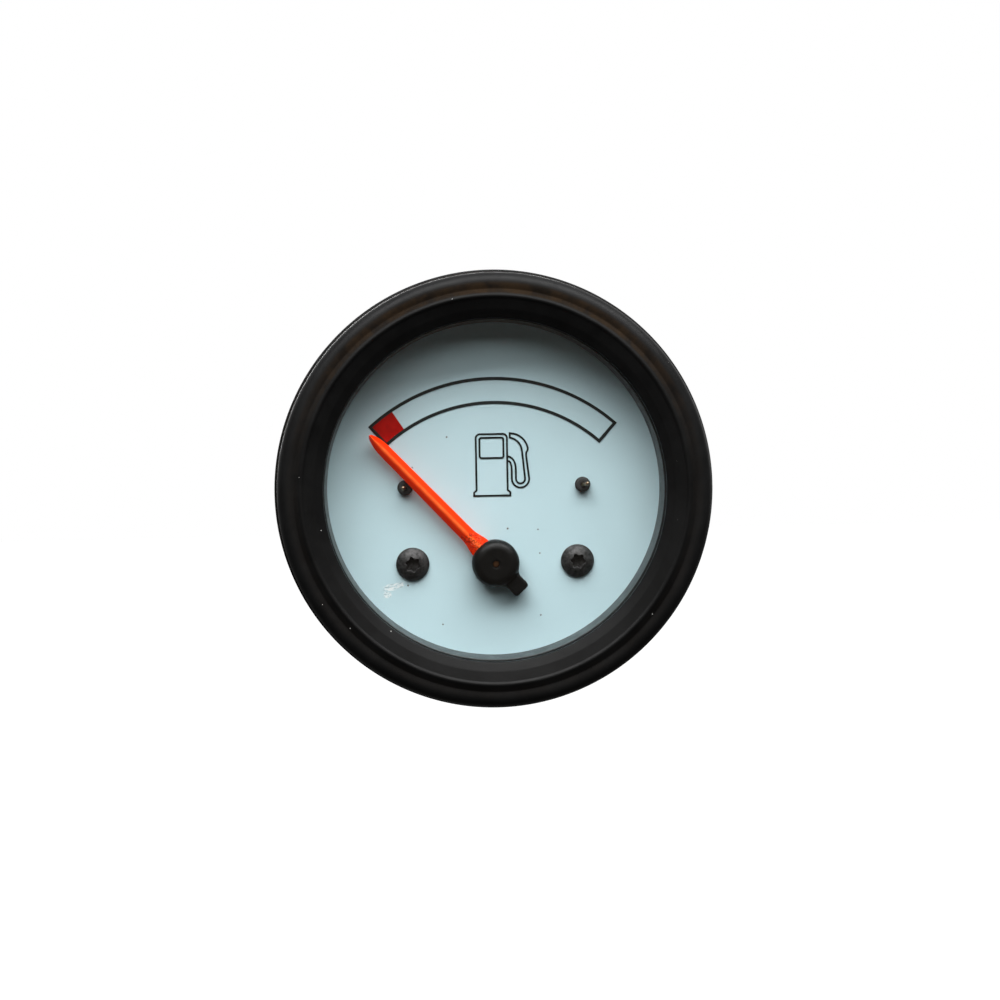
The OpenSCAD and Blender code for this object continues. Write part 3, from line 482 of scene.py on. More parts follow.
def black_lacquer():
    """Satin black lacquer on the ring, with painted sheen on its bead, a tan edge that is partly
    rubbed and partly a painted highlight, and specks.

    The upper part of the groove is painted brown in patches, and is rougher and less glossy there.
    """
    material, tree, shader, place = start("black lacquer")
    black, grey = (0.0036, 0.0036, 0.0036), (0.0058, 0.0058, 0.0059)
    radius = length(tree, stretched(tree, place, (1.0, 0.0, 1.0)))
    # The bead's lighter grey is painted sheen: it stands in for the light that the bead reflects
    # from the sides.
    bead = ramp(tree, radius, 27.1 * MM, 27.9 * MM)
    dark = mix_colour(tree, bead, scaled(black, 0.8), scaled(grey, 0.8))
    light = mix_colour(tree, bead, scaled(black, 1.5), scaled(grey, 1.3))
    base = mix_colour(tree, use(tree, PATCHY, place, Size=180.0), dark, light)
    # Brown patches in the upper part of the groove, rougher and with less gloss.
    groove = band(tree, radius, 26.5 * MM, 26.8 * MM, 27.8 * MM, 28.4 * MM)
    upper = ramp(tree, along(tree, place, "Z"), 4 * MM, 26 * MM, 0.08, 1.0)
    covered = times(tree, groove, upper)
    patches = use(tree, PATCHY, place, Size=420.0, Low=0.15, High=0.75)
    brown_upper_patches = times(tree, covered, patches)
    base = mix_colour(tree, brown_upper_patches, base, (0.030, 0.018, 0.009))
    # Tan band along the outer edge: partly rubbed lacquer, partly a painted highlight of the rim's
    # edge.
    edge = band(tree, radius, 29.35 * MM, 29.55 * MM, 29.7 * MM, 29.85 * MM)
    worn_edge_and_highlight = times(tree, edge, use(tree, PATCHY, place, Size=320.0, Low=0.0, High=0.25))
    base = mix_colour(tree, worn_edge_and_highlight, base, (0.045, 0.037, 0.029))
    specks = use(tree, DUST, place, Size=1100.0, Share=0.05, Dot=0.11)
    base = mix_colour(tree, specks, base, (0.5, 0.5, 0.48))
    surface = use(tree, PATCHY, place, Size=500.0, Low=0.43, High=0.52)
    surface = calc(tree, "ADD", surface, times(tree, brown_upper_patches, 0.35))
    surface = calc(tree, "ADD", surface, times(tree, specks, 0.5), clamp=True)
    gloss = ramp(tree, covered, 0.0, 1.0, 0.12, 0.03, smooth=False)
    fill(tree, shader, {"Specular IOR Level": gloss})
    skin(tree, shader, base, surface, use(tree, GRAIN, place, Size=3800.0), 0.04)
    return material


def clear_glass(name):
    """Clear glass that lets the lamps through."""
    material, tree, shader = blank(
        name, Base_Color=(0.985, 0.995, 0.995, 1.0), Roughness=0.0, IOR=1.5,
        Transmission_Weight=1.0,
    )
    through = add(tree, "ShaderNodeBsdfTransparent", Color=(0.96, 0.975, 0.975, 1.0))
    path = tree.nodes.new("ShaderNodeLightPath")
    both = add(
        tree, "ShaderNodeMixShader",
        i0=path.outputs["Is Shadow Ray"], i1=shader.outputs[0], i2=through.outputs[0],
    )
    tree.links.new(both.outputs[0], tree.nodes["Material Output"].inputs["Surface"])
    return material


def on_dial(x, z):
    """A place on the dial's face, from mm to metres."""
    return x * MM, DIAL_Y * MM, z * MM


def dial_paint():
    """Pale cool white paint with fine grain, tiny dark specks and two scuffed streaks, whose grey
    is partly dark crumbs and partly painted shadow of the flakes.
    """
    material, tree, shader, place = start("dial paint", Specular_IOR_Level=0.3)
    white = (0.56, 0.735, 0.78)
    cloud = use(tree, PATCHY, place, Size=90.0)
    base = mix_colour(tree, cloud, scaled(white, 0.975), scaled(white, 1.02))
    specks = use(tree, DUST, place, Size=420.0, Share=0.06, Dot=0.035)
    base = mix_colour(tree, specks, base, (0.1, 0.1, 0.1))
    for x, z, radius in (
        (-6.4, 7.3, 0.13), (-11.2, 3.2, 0.12), (6.2, -9.0, 0.11), (1.8, -5.5, 0.14),
        (6.0, -5.7, 0.11), (-7.4, -18.6, 0.12), (6.2, -17.6, 0.12),
    ):
        dot = use(tree, SPOT, place, Centre=on_dial(x, z), Radius=radius * MM, Fine=9000.0)
        base = mix_colour(tree, dot, base, (0.12, 0.11, 0.1))
    for x, z, half_long, half_high, turn in (
        (-14.2, -13.25, 1.6, 0.5, -13), (-15.0, -14.35, 0.6, 0.45, -8),
    ):
        streak = add(
            tree, "ShaderNodeMapping", {"vector_type": "TEXTURE"}, Vector=place,
            Location=on_dial(x, z), Rotation=(0, math.radians(turn), 0),
            Scale=(half_long * MM, MM, half_high * MM),
        ).outputs[0]
        scuff = use(tree, SPOT, streak, Radius=1.0, Ragged=1.6, Fine=3.0)
        torn = noise(tree, streak, 1.9, 3.0, 0.65)
        flakes = times(tree, scuff, ramp(tree, torn, 0.46, 0.53))
        # Grey beside the pale flakes: partly dark crumbs, partly a painted shadow of the flakes.
        shade = times(tree, scuff, ramp(tree, torn, 0.47, 0.40))
        base = mix_colour(tree, times(tree, shade, 0.5), base, (0.24, 0.26, 0.26))
        base = mix_colour(tree, times(tree, flakes, 0.8), base, (0.92, 0.93, 0.92))
    mark = use(
        tree, SPOT, place,
        Centre=on_dial(-12.1, -13.1), Radius=0.14 * MM, Ragged=1.2, Fine=5000.0,
    )
    base = mix_colour(tree, mark, base, (0.09, 0.09, 0.09))
    surface = use(tree, PATCHY, place, Size=600.0, Low=0.5, High=0.6)
    skin(tree, shader, base, surface, use(tree, GRAIN, place, Size=7000.0), 0.1, 1e-5)
    return material


def printed_ink(name, rgb):
    """Screen-printed ink with a slightly uneven tone."""
    return finish(
        name, rgb, (0.45, 0.6), patch=900.0, tone=(0.85, 1.2), grain=9000.0, relief=0.08,
        specular=0.04,
    )


def pointer_paint():
    """Fluorescent orange paint with a painted glow that lifts its shaded side, a painted highlight
    along the ridge, and dark scuffs near the hub.
    """
    # The orange emission is painted light: a glow that lifts the arm's shaded side.
    material, tree, shader, place = start(
        "pointer paint", Specular_IOR_Level=0.025,
        Emission_Color=(1.0, 0.022, 0.0, 1.0), Emission_Strength=0.13,
    )
    orange = (0.95, 0.032, 0.001)
    cloud = use(tree, PATCHY, place, Size=500.0)
    base = mix_colour(tree, cloud, scaled(orange, 0.93), scaled(orange, 1.0))
    # Painted highlight: paler orange in patches along the ridge, the arm's part nearest the viewer.
    ridge = times(
        tree, ramp(tree, along(tree, place, "Y"), -1.7 * MM, -1.83 * MM),
        use(tree, PATCHY, place, Size=700.0, Low=0.45, High=0.95),
    )
    base = mix_colour(tree, ridge, base, (1.0, 0.15, 0.03))
    scuff = use(
        tree, SPOT, place,
        Centre=(-3.1 * MM, -1.4 * MM, -7.1 * MM), Radius=1.5 * MM, Ragged=1.8, Fine=2500.0,
    )
    torn = noise(tree, place, 4600.0, 4.0, 0.7)
    dark = times(tree, scuff, ramp(tree, torn, 0.5, 0.56))
    base = mix_colour(tree, times(tree, dark, 0.9), base, (0.055, 0.014, 0.008))
    pale = times(tree, scuff, ramp(tree, torn, 0.40, 0.36))
    base = mix_colour(tree, times(tree, pale, 0.7), base, (0.62, 0.26, 0.16))
    surface = use(tree, PATCHY, place, Size=900.0, Low=0.36, High=0.46)
    skin(tree, shader, base, surface, use(tree, GRAIN, place, Size=6000.0), 0.08, 1e-5)
    return material


def wound_wire(name, rgb, across):
    """Enamelled copper wire: parallel ridges of 0.22 mm across the bundle, a brown lacquer, and
    painted shade in the grooves between the turns.
    """
    material, tree, shader, place = start(name, Metallic=0.85)
    turns = calc(tree, "SINE", times(tree, along(tree, place, across), TAU / (0.22 * MM)))
    cloud = use(tree, PATCHY, place, Size=700.0)
    base = mix_colour(tree, cloud, scaled(rgb, 0.75), scaled(rgb, 1.2))
    # Painted shade: the colour darkens in the grooves between the turns.
    between = ramp(tree, turns, -1.0, 0.0, 0.55, 0.0)
    base = mix_colour(tree, between, base, scaled(rgb, 0.3))
    surface = use(tree, PATCHY, place, Size=900.0, Low=0.28, High=0.42)
    skin(tree, shader, base, surface, turns, 0.6, 4e-5)
    return material


def zinc_plate():
    """Zinc-plated steel with a faint yellow chromate bloom and draw lines along the axis."""
    material, tree, shader, place = start("zinc plated steel", Metallic=0.9)
    cloud = use(tree, PATCHY, place, Size=75.0)
    bloom = use(tree, PATCHY, place, Size=210.0, Low=0.0, High=0.5)
    base = mix_colour(tree, cloud, (0.255, 0.255, 0.245), (0.33, 0.325, 0.31))
    base = mix_colour(tree, bloom, base, (0.31, 0.285, 0.215))
    drawn = noise(tree, stretched(tree, place, (2600.0, 45.0, 2600.0)), 1.0, 3.0)
    drawn = ramp(tree, drawn, 0.35, 0.65)
    base = mix_colour(tree, times(tree, drawn, 0.16), base, (0.20, 0.20, 0.19))
    surface = use(tree, PATCHY, place, Size=150.0, Low=0.42, High=0.5)
    surface = calc(tree, "ADD", surface, times(tree, drawn, 0.05))
    skin(tree, shader, base, surface, use(tree, GRAIN, place, Size=2600.0), 0.2)
    return material


def board_lacquer():
    """Green circuit board with copper tracks under its lacquer and a fine glass weave."""
    material, tree, shader, place = start("board lacquer")
    weave = add(tree, "ShaderNodeTexChecker", Vector=place, Scale=3200.0).outputs["Fac"]
    cells = add(
        tree, "ShaderNodeTexVoronoi", {"distance": "CHEBYCHEV"}, Vector=place, Scale=420.0
    )
    tracks = ramp(tree, cells.outputs["Distance"], 0.40, 0.44)
    base = mix_colour(tree, tracks, (0.02, 0.12, 0.045), (0.05, 0.22, 0.08))
    base = mix_colour(tree, times(tree, weave, 0.1), base, (0.08, 0.25, 0.12))
    surface = use(tree, PATCHY, place, Size=300.0, Low=0.2, High=0.34)
    skin(tree, shader, base, surface, tracks, 0.3, 3e-5)
    return material


def banded_body():
    """Resistor lacquer in tan with four colour bands, and tinned wire beyond its ends."""
    material, tree, shader, place = start("resistor lacquer")
    middle, half_band, body_half = 5.6 * MM, 0.3 * MM, 3.22 * MM
    offset = calc(tree, "ABSOLUTE", along(tree, place, "X"))
    offset = calc(tree, "SUBTRACT", offset, middle)
    base = (0.58, 0.44, 0.26)
    for at, rgb in (
        (-2.2, (0.25, 0.09, 0.03)), (-1.1, (0.02, 0.02, 0.02)), (0.0, (0.5, 0.05, 0.03)),
        (1.9, (0.55, 0.4, 0.08)),
    ):
        off = calc(tree, "ABSOLUTE", calc(tree, "SUBTRACT", offset, at * MM))
        base = mix_colour(tree, calc(tree, "LESS_THAN", off, half_band), base, rgb)
    wire = calc(tree, "GREATER_THAN", calc(tree, "ABSOLUTE", offset), body_half)
    base = mix_colour(tree, wire, base, (0.6, 0.6, 0.6))
    fill(tree, shader, {"Metallic": wire})
    surface = use(tree, PATCHY, place, Size=700.0, Low=0.3, High=0.45)
    skin(tree, shader, base, surface, use(tree, GRAIN, place, Size=5000.0), 0.1, 1e-5)
    return material


def fibre_laminate():
    """Brown paper laminate: layered streaks and fibres."""
    material, tree, shader, place = start("brown laminate")
    streaks = noise(tree, stretched(tree, place, (500.0, 6000.0, 900.0)), 1.0, 6.0)
    streaks = ramp(tree, streaks, 0.35, 0.65)
    base = mix_colour(tree, streaks, (0.13, 0.055, 0.022), (0.27, 0.14, 0.065))
    surface = use(tree, PATCHY, place, Size=500.0, Low=0.4, High=0.55)
    skin(tree, shader, base, surface, streaks, 0.15)
    return material


BLACK = black_lacquer()
GLASS = clear_glass("clear flat glass")
DIAL = dial_paint()
INK = printed_ink("black ink", (0.018, 0.022, 0.022))
RED_INK = printed_ink("red ink", (0.40, 0.004, 0.003))
RUBBER = finish(
    "black rubber", (0.018, 0.018, 0.018), (0.6, 0.75), grain=4000.0, relief=0.25,
    dust=0.08, dust_rgb=(0.12, 0.12, 0.11),
)
SHROUD = finish(
    "grey shroud plastic", (0.02, 0.021, 0.021), (0.3, 0.4), patch=300.0, grain=4500.0
)
SCREW_BLACK = finish(
    "blackened screw steel", (0.027, 0.026, 0.026), (0.45, 0.64), metallic=0.6, patch=1700.0,
    tone=(0.35, 2.3), grain=3500.0, relief=0.5,
)
BRASS = finish(
    "satin brass", (0.62, 0.42, 0.17), (0.25, 0.4), metallic=1.0, patch=600.0, tone=(0.8, 1.1),
    lines=0.02, tarnish=(0.24, 0.18, 0.12),
)
SPINDLE = finish(
    "browned spindle", (0.12, 0.055, 0.025), (0.35, 0.5), metallic=0.9, patch=1500.0,
    tone=(0.5, 1.3),
)
ORANGE = pointer_paint()
HUB = finish(
    "black hub plastic", (0.0036, 0.0035, 0.0034), (0.36, 0.46), patch=400.0,
    dust=0.015, dust_rgb=(0.2, 0.2, 0.2), specular=0.16,
)
MAGNET = finish(
    "pressed magnet", (0.09, 0.09, 0.1), (0.45, 0.6), metallic=0.5, grain=2500.0, relief=0.3
)
CREAM = finish(
    "cream former plastic", (0.70, 0.64, 0.50), (0.4, 0.5), patch=250.0, tone=(0.93, 1.04)
)
COPPER_X = wound_wire("inner windings", (0.62, 0.20, 0.06), "Z")
COPPER_Z = wound_wire("outer windings", (0.56, 0.17, 0.05), "X")
ZINC = zinc_plate()
BOARD = board_lacquer()
RESISTOR = banded_body()
LAMINATE = fibre_laminate()
RIVET = finish(
    "rivet aluminium", (0.72, 0.72, 0.71), (0.3, 0.42), metallic=1.0, patch=500.0,
    tone=(0.85, 1.05), lines=0.02,
)
HOLDER = finish(
    "lamp holder plastic", (0.36, 0.315, 0.225), (0.35, 0.46), patch=220.0, tone=(0.9, 1.06)
)
BULB = clear_glass("bulb glass")


# Ring, glass and seals


def ring_outline():
    """Section of the ring as (r, y): lip, land, funnel, ridge, groove, bead, wall and rolled edge.

    Straight lines between named corners, each corner rounded by its own radius.
    """
    front = corner_arcs([
        (OPENING_R + 0.6, 5.1, 0), (OPENING_R, 5.1, 0.08), (OPENING_R, 5.6, 0.26),
        (24.5, 6.2, 1.6), (25.85, 6.64, 0.4), (26.22, 6.9, 0.4), (27.2, 6.5, 0.35),
        (29.5, 6.96, 1.6), (29.5, 2.85, 0.12), (RING_R, 2.75, 0.16), (RING_R, 0.8, 0.69),
        (SEAT_R, 0.8, 0),
    ], steps=9)
    back = corner_arcs([
        (SEAT_R, 0.8, 0), (SEAT_R, 1.4, 0), (29.4, 1.4, 0), (29.4, 2.2, 0.1), (28.85, 2.6, 0.2),
        (28.85, 6.2, 1.0), (27.2, 5.88, 0.2), (26.24, 6.24, 0.2), (25.2, 5.85, 0.2), (24.6, 5.1, 0),
        (OPENING_R + 0.6, 5.1, 0),
    ], steps=5)
    return np.vstack([front, back[1:-1]]) * [1, -1]


ring = lathe("ring", ring_outline(), turns=320)
dress(ring, BLACK, "gauge_body", ["front_bezel"], sharp=50)

glass_outline = corner_arcs([
    (1, GLASS_FRONT, 0), (GLASS_R, GLASS_FRONT, 0.15), (GLASS_R, GLASS_BACK, 0.15),
    (1, GLASS_BACK, 0),
])
glass_outline = np.vstack([[0, GLASS_FRONT], glass_outline, [0, GLASS_BACK]])
glass = lathe("flat_glass", glass_outline, loop=False)
dress(glass, GLASS, "gauge_body", ["lens_glass"], sharp=5)
glass.visible_diffuse = False
glass.visible_glossy = False

for node, width in (("lens_gasket", 0.1), ("panel_gasket", 0.2)):
    seal = merged_copy(node)
    round_edges(seal, width)
    dress(seal, RUBBER, "gauge_body", [node])

shroud = merged_copy("dial_shroud")
round_edges(shroud, 0.08)
dress(shroud, SHROUD, "gauge_body", ["dial_shroud"])


# Dial and prints

dial = merged_copy("dial_plate")
dress(dial, DIAL, "gauge_body", ["dial_plate"])
for node, ink in (("scale_print", INK), ("red_zone_print", RED_INK), ("pump_symbol_print", INK)):
    print_piece = merged_copy(node)
    dress(print_piece, ink, "gauge_body", [node])


# Dial screws, stop pins and their sleeves


def screw_head(name, x, z, turn):
    """Button head as rows of (radius, height) round its axis.

    The dome is a sphere of 3.085 mm, the recess outline is 0.93 - 0.13 cos 6t, and its edge is
    broken by a small chamfer.
    """
    columns = 180
    t = np.arange(columns) * TAU / columns
    lobes = 0.93 - 0.13 * np.cos(6 * (t - turn))
    head_r, head_h, dome_r = 2.3, 1.3, 3.085
    rim = head_h - (dome_r - math.sqrt(dome_r**2 - head_r**2))

    def dome(r):
        """The dome's height at radius r."""
        return head_h - dome_r + np.sqrt(dome_r**2 - r**2)

    rows = [(0, 0), (head_r - 0.25, 0), (head_r - 0.05, 0.02), (head_r, 0.08)]
    rows += [(head_r, rim - 0.05), (head_r - 0.03, rim + 0.03)]
    for share in np.linspace(0, 1, 16)[:-1]:
        r = (head_r - 0.08) * (1 - share) + (lobes + 0.07) * share
        rows.append((r, dome(r)))
    rows += [(lobes + 0.06, dome(lobes + 0.06)), (lobes + 0.02, dome(lobes) - 0.04)]
    rows += [(lobes, dome(lobes) - 0.1), (lobes * 0.97, 0.42), (lobes * 0.9, 0.34)]
    rows += [(lobes * 0.5, 0.32), (0, 0.27)]
    r, h = row_arrays(rows, t)
    grid = np.stack([x + r * np.sin(t), DIAL_Y - h, z + r * np.cos(t)], -1)
    return grid_object(name, grid)


heads = [
    screw_head("head", -SCREW_X, PIVOT_Z, 0.31),
    screw_head("head", SCREW_X, PIVOT_Z, 0.12),
]
shank_outline = corner_arcs([
    (0, DIAL_Y + 0.01, 0), (SHANK_R, DIAL_Y + 0.01, 0), (SHANK_R, SHANK_END, 0.2),
    (0, SHANK_END, 0),
])
shanks = [
    lathe("shank", shank_outline, x=side * SCREW_X, z=PIVOT_Z, turns=32, loop=False)
    for side in (-1, 1)
]
screws = joined("dial_screw_pair", heads + shanks)
dress(screws, SCREW_BLACK, "gauge_body", ["dial_screws"], sharp=45)


def pin_place(side):
    """Where a stop pin stands, left or right of the pivot."""
    right, up = PIN_ORBIT * math.sin(PIN_ANGLE), PIN_ORBIT * math.cos(PIN_ANGLE)
    return PIVOT_X + side * right, PIVOT_Z + up


def wire_pin(name, side, lean_x, lean_z):
    """Wire that stands up through its sleeve and then leans by lean_x and lean_z mm at its end.

    It is 0.01 mm thinner than the source's pin, all round.
    """
    x, z = pin_place(side)
    y = np.r_[np.linspace(1.45, -0.45, 5), np.linspace(-0.6, -2.0, 8)]
    lean = np.clip((-0.5 - y) / 1.5, 0, 1)
    path = np.stack([x + lean_x * lean, y, z + lean_z * lean], 1)
    return swept_wire(name, path, PIN_R - 0.01)


pins = joined("stop_pin_pair", [
    wire_pin("pin", -1, -0.28, 0.05), wire_pin("pin", 1, 0.5, 0.2)
])
dress(pins, BRASS, "gauge_body", ["stop_pins"])

sleeve_outline = corner_arcs([
    (0.32, DIAL_Y, 0), (0.32, -0.55, 0.08), (1.05, -0.55, 0.34), (1.05, DIAL_Y, 0.05)
])
sleeves = joined("pin_sleeve_pair", [
    lathe("sleeve", sleeve_outline, *pin_place(side), turns=64) for side in (-1, 1)
])
dress(sleeves, RUBBER, "gauge_body", ["pin_sleeves"])


# Pointer

TO_TIP = np.array([-math.sin(SWEEP / 2), 0, math.cos(SWEEP / 2)])
ACROSS = np.array([-math.cos(SWEEP / 2), 0, -math.sin(SWEEP / 2)])
TOWARDS_VIEWER = np.array([0, -1.0, 0])
PIVOT = np.array([PIVOT_X, DIAL_Y, PIVOT_Z])


def from_pivot(forward, across, high):
    """Points given in mm along the pointer, across it and above the dial."""
    forward, across, high = (np.asarray(v, float)[..., None] for v in (forward, across, high))
    return PIVOT + forward * TO_TIP + across * ACROSS + high * TOWARDS_VIEWER


def smooth_step(value):
    """0 below 0, 1 above 1, and 3 v^2 - 2 v^3 between."""
    value = np.clip(value, 0, 1)
    return value * value * (3 - 2 * value)


def pointer_arm():
    """Roofed arm: half width falls from 1.5 mm at the root to 1.03 and 0.9 mm, then to a spear tip.

    Across the arm the section is a flat underside, upright sides and an arched roof with a soft
    ridge: it falls by 0.45 of a softened |v| and 0.55 of v^2. The ridge sinks a little at the tip.
    """
    spear, tip = 22.0, 24.7
    forward = np.r_[
        1.98, np.linspace(2.0, 6.2, 36), np.linspace(6.5, 21.6, 30), np.linspace(21.7, tip, 44)
    ]
    half = 1.03 - 0.13 * np.clip((forward - 6) / 16, 0, 1)
    half += 0.47 * (1 - smooth_step((forward - 2.9) / 3.2)) ** 1.6
    share = np.clip((forward - spear) / (tip - spear), 0, 1)
    half *= np.sqrt(np.clip(1 - share**2.4, 0, 1)) * (1 - 0.25 * share)
    ridge = 1.1 - 0.05 * smooth_step((forward - 21.5) / 3.2)
    side = 0.35 * (1 - 0.4 * smooth_step(share))
    v = np.linspace(-1, 1, 33)
    soft = np.sqrt(v * v + 0.22**2) - 0.22
    roof = 1 - 0.45 * soft / soft.max() - 0.55 * v * v
    across = np.concatenate([[-0.97], v * 0.985, [0.97]])
    rise = np.concatenate([[0.0], roof, [0.0]])
    on_top = np.concatenate([[0.0], np.ones(len(v)), [0.0]])
    a = half[:, None] * across
    h = ARM_LIFT + on_top * (side[:, None] + (ridge - side)[:, None] * rise)
    grid = from_pivot(forward[:, None] + 0 * a, a, h)
    grid[0] = grid[0].mean(axis=0)
    grid[-1] = grid[-1].mean(axis=0)
    return grid_object("pointer_blade", grid)


arm = pointer_arm()
dress(arm, ORANGE, "pointer", ["pointer_arm"], sharp=38)


def hub_and_tail():
    """Hub and counterweight tail as one moulding, in polar rows about the pivot.

    Its plan is the soft union of a 3.275 mm circle and a round-cornered bar towards the tail. Its
    height is the softened larger of the hub's dome, with a flat top and a dimple, and the tail.
    """
    hub_r, hub_h, flat_r, shoulder = 3.275, 2.4, 1.95, 1.32
    tail_l, tail_w, corner, tail_h = 5.35, 1.2, 0.42, 1.5
    columns, fillet, blend, bevel = 288, 0.7, 0.35, 0.3
    t = np.arange(columns) * TAU / columns

    def plan(r):
        """Distances outside the plan, whose circle and bar a fillet joins, and outside the bar."""
        u, v = r * np.cos(t), r * np.sin(t)
        circle = r - hub_r
        du = np.maximum(-u - tail_l + corner, u)
        dv = np.abs(v) - tail_w + corner
        bar = np.hypot(np.maximum(du, 0), np.maximum(dv, 0))
        bar += np.minimum(np.maximum(du, dv), 0) - corner
        soft = np.maximum(fillet - np.abs(circle - bar), 0) / fillet
        return np.minimum(circle, bar) - soft**2 * fillet / 4, bar

    reach = np.linspace(3.0, 5.6, 260)[:, None]
    inside = plan(reach)[0] < 0
    last = len(reach) - 1 - inside[::-1].argmax(axis=0)
    edge = reach[last, 0]

    def height(r):
        """Top above the hub's underside at radius r."""
        dome = np.where(
            r < flat_r, hub_h,
            hub_h - shoulder + np.sqrt(np.maximum(shoulder**2 - np.maximum(r - flat_r, 0) ** 2, 0)),
        )
        dome = dome - 0.05 * smooth_step((0.75 - r) / 0.25)
        inward = -plan(r)[1]
        rounded = np.sqrt(np.clip(1 - (1 - np.clip(inward / bevel, 0, 1)) ** 2, 0, 1))
        bar = np.where(inward > -0.05, tail_h - bevel * (1 - rounded), 0.0)
        soft = np.maximum(blend - np.abs(dome - bar), 0) / blend
        return np.maximum(dome, bar) + soft**2 * blend / 4

    shares = np.r_[
        0, 0.01, np.linspace(0.03, 0.5, 22), np.linspace(0.52, 0.96, 30), 0.975, 0.99, 1.0
    ]
    radii = [SPINDLE_R + (edge - SPINDLE_R) * share for share in shares]
    rows = [(r, height(r)) for r in radii]
    top = rows[-1][1]
    rows += [(edge, top * 0.5 + 0.1), (edge, 0.2), (edge - 0.06, 0.06), (edge - 0.2, 0)]
    rows += [(edge * 0.5, 0), (SPINDLE_R, 0)]
    r, h = row_arrays(rows, t)
    grid = from_pivot(r * np.cos(t), r * np.sin(t), HUB_LIFT + h)
    return grid_object("hub_and_tail", grid, loop_rows=True)


hub = hub_and_tail()
dress(hub, HUB, "pointer", ["pointer_hub"], sharp=50)

spindle_outline = corner_arcs([
    (0, SPINDLE_FRONT, 0), (SPINDLE_R, SPINDLE_FRONT, 0.16), (SPINDLE_R, SPINDLE_BACK, 0.1),
    (0, SPINDLE_BACK, 0),
])
shaft = lathe(
    "pointer_spindle", spindle_outline, x=PIVOT_X, z=PIVOT_Z, turns=48, loop=False
)
dress(shaft, SPINDLE, "pointer", ["pointer_shaft"])


# Studs, nuts and knurled nuts


def hexagon(t, across_flats):
    """Radius of a hexagon with a flat towards +X, at angle t from +X."""
    sixth = TAU / 6
    return across_flats / 2 / np.cos((t + sixth / 2) % sixth - sixth / 2)


def turned_rows(name, x, rows, columns, loop=True):
    """Rows of (radius, y), each a number or an array round the axis, about a stud's axis."""
    t = np.arange(columns) * TAU / columns
    r, y = row_arrays(rows, t)
    grid = np.stack([x + r * np.cos(t), y, r * np.sin(t)], -1)
    return grid_object(name, grid, loop)


def threaded_stud(x):
    """Stud with a hexagonal head, a plain shank and a thread of 0.7 mm pitch, 0.36 mm deep.

    The thread's radius is 2 - 0.36 w, where w is a rounded saw wave of y / pitch - t / turn. The
    depth grows from nothing over the thread's first 0.8 mm.
    """
    columns, pitch, depth = 40, 0.7, 0.36
    head_y, thread_y, run_in = BOARD_Y - 2.8, 33.1, 0.8
    t = np.arange(columns) * TAU / columns
    head = hexagon(t, FLATS)
    rows = [(0.0, head_y), (2.6, head_y), (np.minimum(head, 3.3), head_y + 0.05)]
    rows += [(head, head_y + 0.35), (head, BOARD_Y), (STUD_R, BOARD_Y)]
    rows += [(STUD_R, thread_y - 0.2)]
    for y in np.arange(thread_y, STUD_END - 0.45, pitch / 9):
        wave = np.abs(((y / pitch - t / TAU) % 1) * 2 - 1)
        wave = smooth_step(wave * 1.15 - 0.075)
        ease = min(1.0, (y - thread_y) / run_in)
        rows.append((STUD_R - depth * ease * wave, y))
    rows += [(STUD_R - 0.42, STUD_END - 0.3), (STUD_R - 0.6, STUD_END), (0.0, STUD_END)]
    return turned_rows("stud", x, rows, columns, loop=False)


studs = joined("threaded_studs", [threaded_stud(-STUD_X), threaded_stud(STUD_X)])
dress(studs, ZINC, "gauge_body", ["clamp_studs"])


def hex_nut(x):
    """Hexagonal nut whose corners are turned off by 30 degree cones at both faces."""
    columns = 96
    t = np.arange(columns) * TAU / columns
    low, high = CASE_END + 0.8, CASE_END + 3.0
    flat = hexagon(t, FLATS)
    cones = [(np.minimum(flat, r), down) for r, down in ((3.5, 0.06), (3.75, 0.22), (4.04, 0.42))]
    rows = [(2.02, low + 0.25), (2.02, high - 0.25), (2.3, high), (3.25, high)]
    rows += [(r, high - down) for r, down in cones]
    rows += [(r, low + down) for r, down in reversed(cones)]
    rows += [(3.25, low), (2.3, low)]
    return turned_rows("nut", x, rows, columns)


nuts = joined("hexagonal_nuts", [hex_nut(-STUD_X), hex_nut(STUD_X)])
dress(nuts, ZINC, "gauge_body", ["stud_nuts"], sharp=25)


def knurled_nut(name, x):
    """Round nut: its rim is 4.5 mm less 0.24 mm times a rounded wave of 24 flutes."""
    flutes, bore = 24, STUD_R + 0.05
    columns = flutes * 12
    t = np.arange(columns) * TAU / columns
    flute = 4.5 - 0.24 * smooth_step(1.6 * np.abs(((flutes * t / TAU) % 1) * 2 - 1) - 0.55)
    rows = [(bore, KNURL_Y + 0.3), (bore, KNURL_END - 0.35), (2.35, KNURL_END)]
    rows += [(3.4, KNURL_END), (flute - 0.45, KNURL_END - 0.02), (flute - 0.12, KNURL_END - 0.22)]
    rows += [(flute, KNURL_END - 0.45), (flute, KNURL_Y + 1.5), (flute - 0.1, KNURL_Y + 1.28)]
    rows += [(flute - 0.3, KNURL_Y + 1.2), (3.75, KNURL_Y + 1.2), (3.7, KNURL_Y + 1.12)]
    rows += [(3.7, KNURL_Y + 0.1), (3.6, KNURL_Y), (2.35, KNURL_Y)]
    return turned_rows(name, x, rows, columns)


for side, x in (("left", -STUD_X), ("right", STUD_X)):
    nut = knurled_nut(f"knurled_nut_{side}_piece", x)
    dress(nut, BRASS, f"nut_{side}", [f"knurled_nut_{side}"], sharp=40)


# The other pieces are the CAD surfaces, merged, with rounded edges

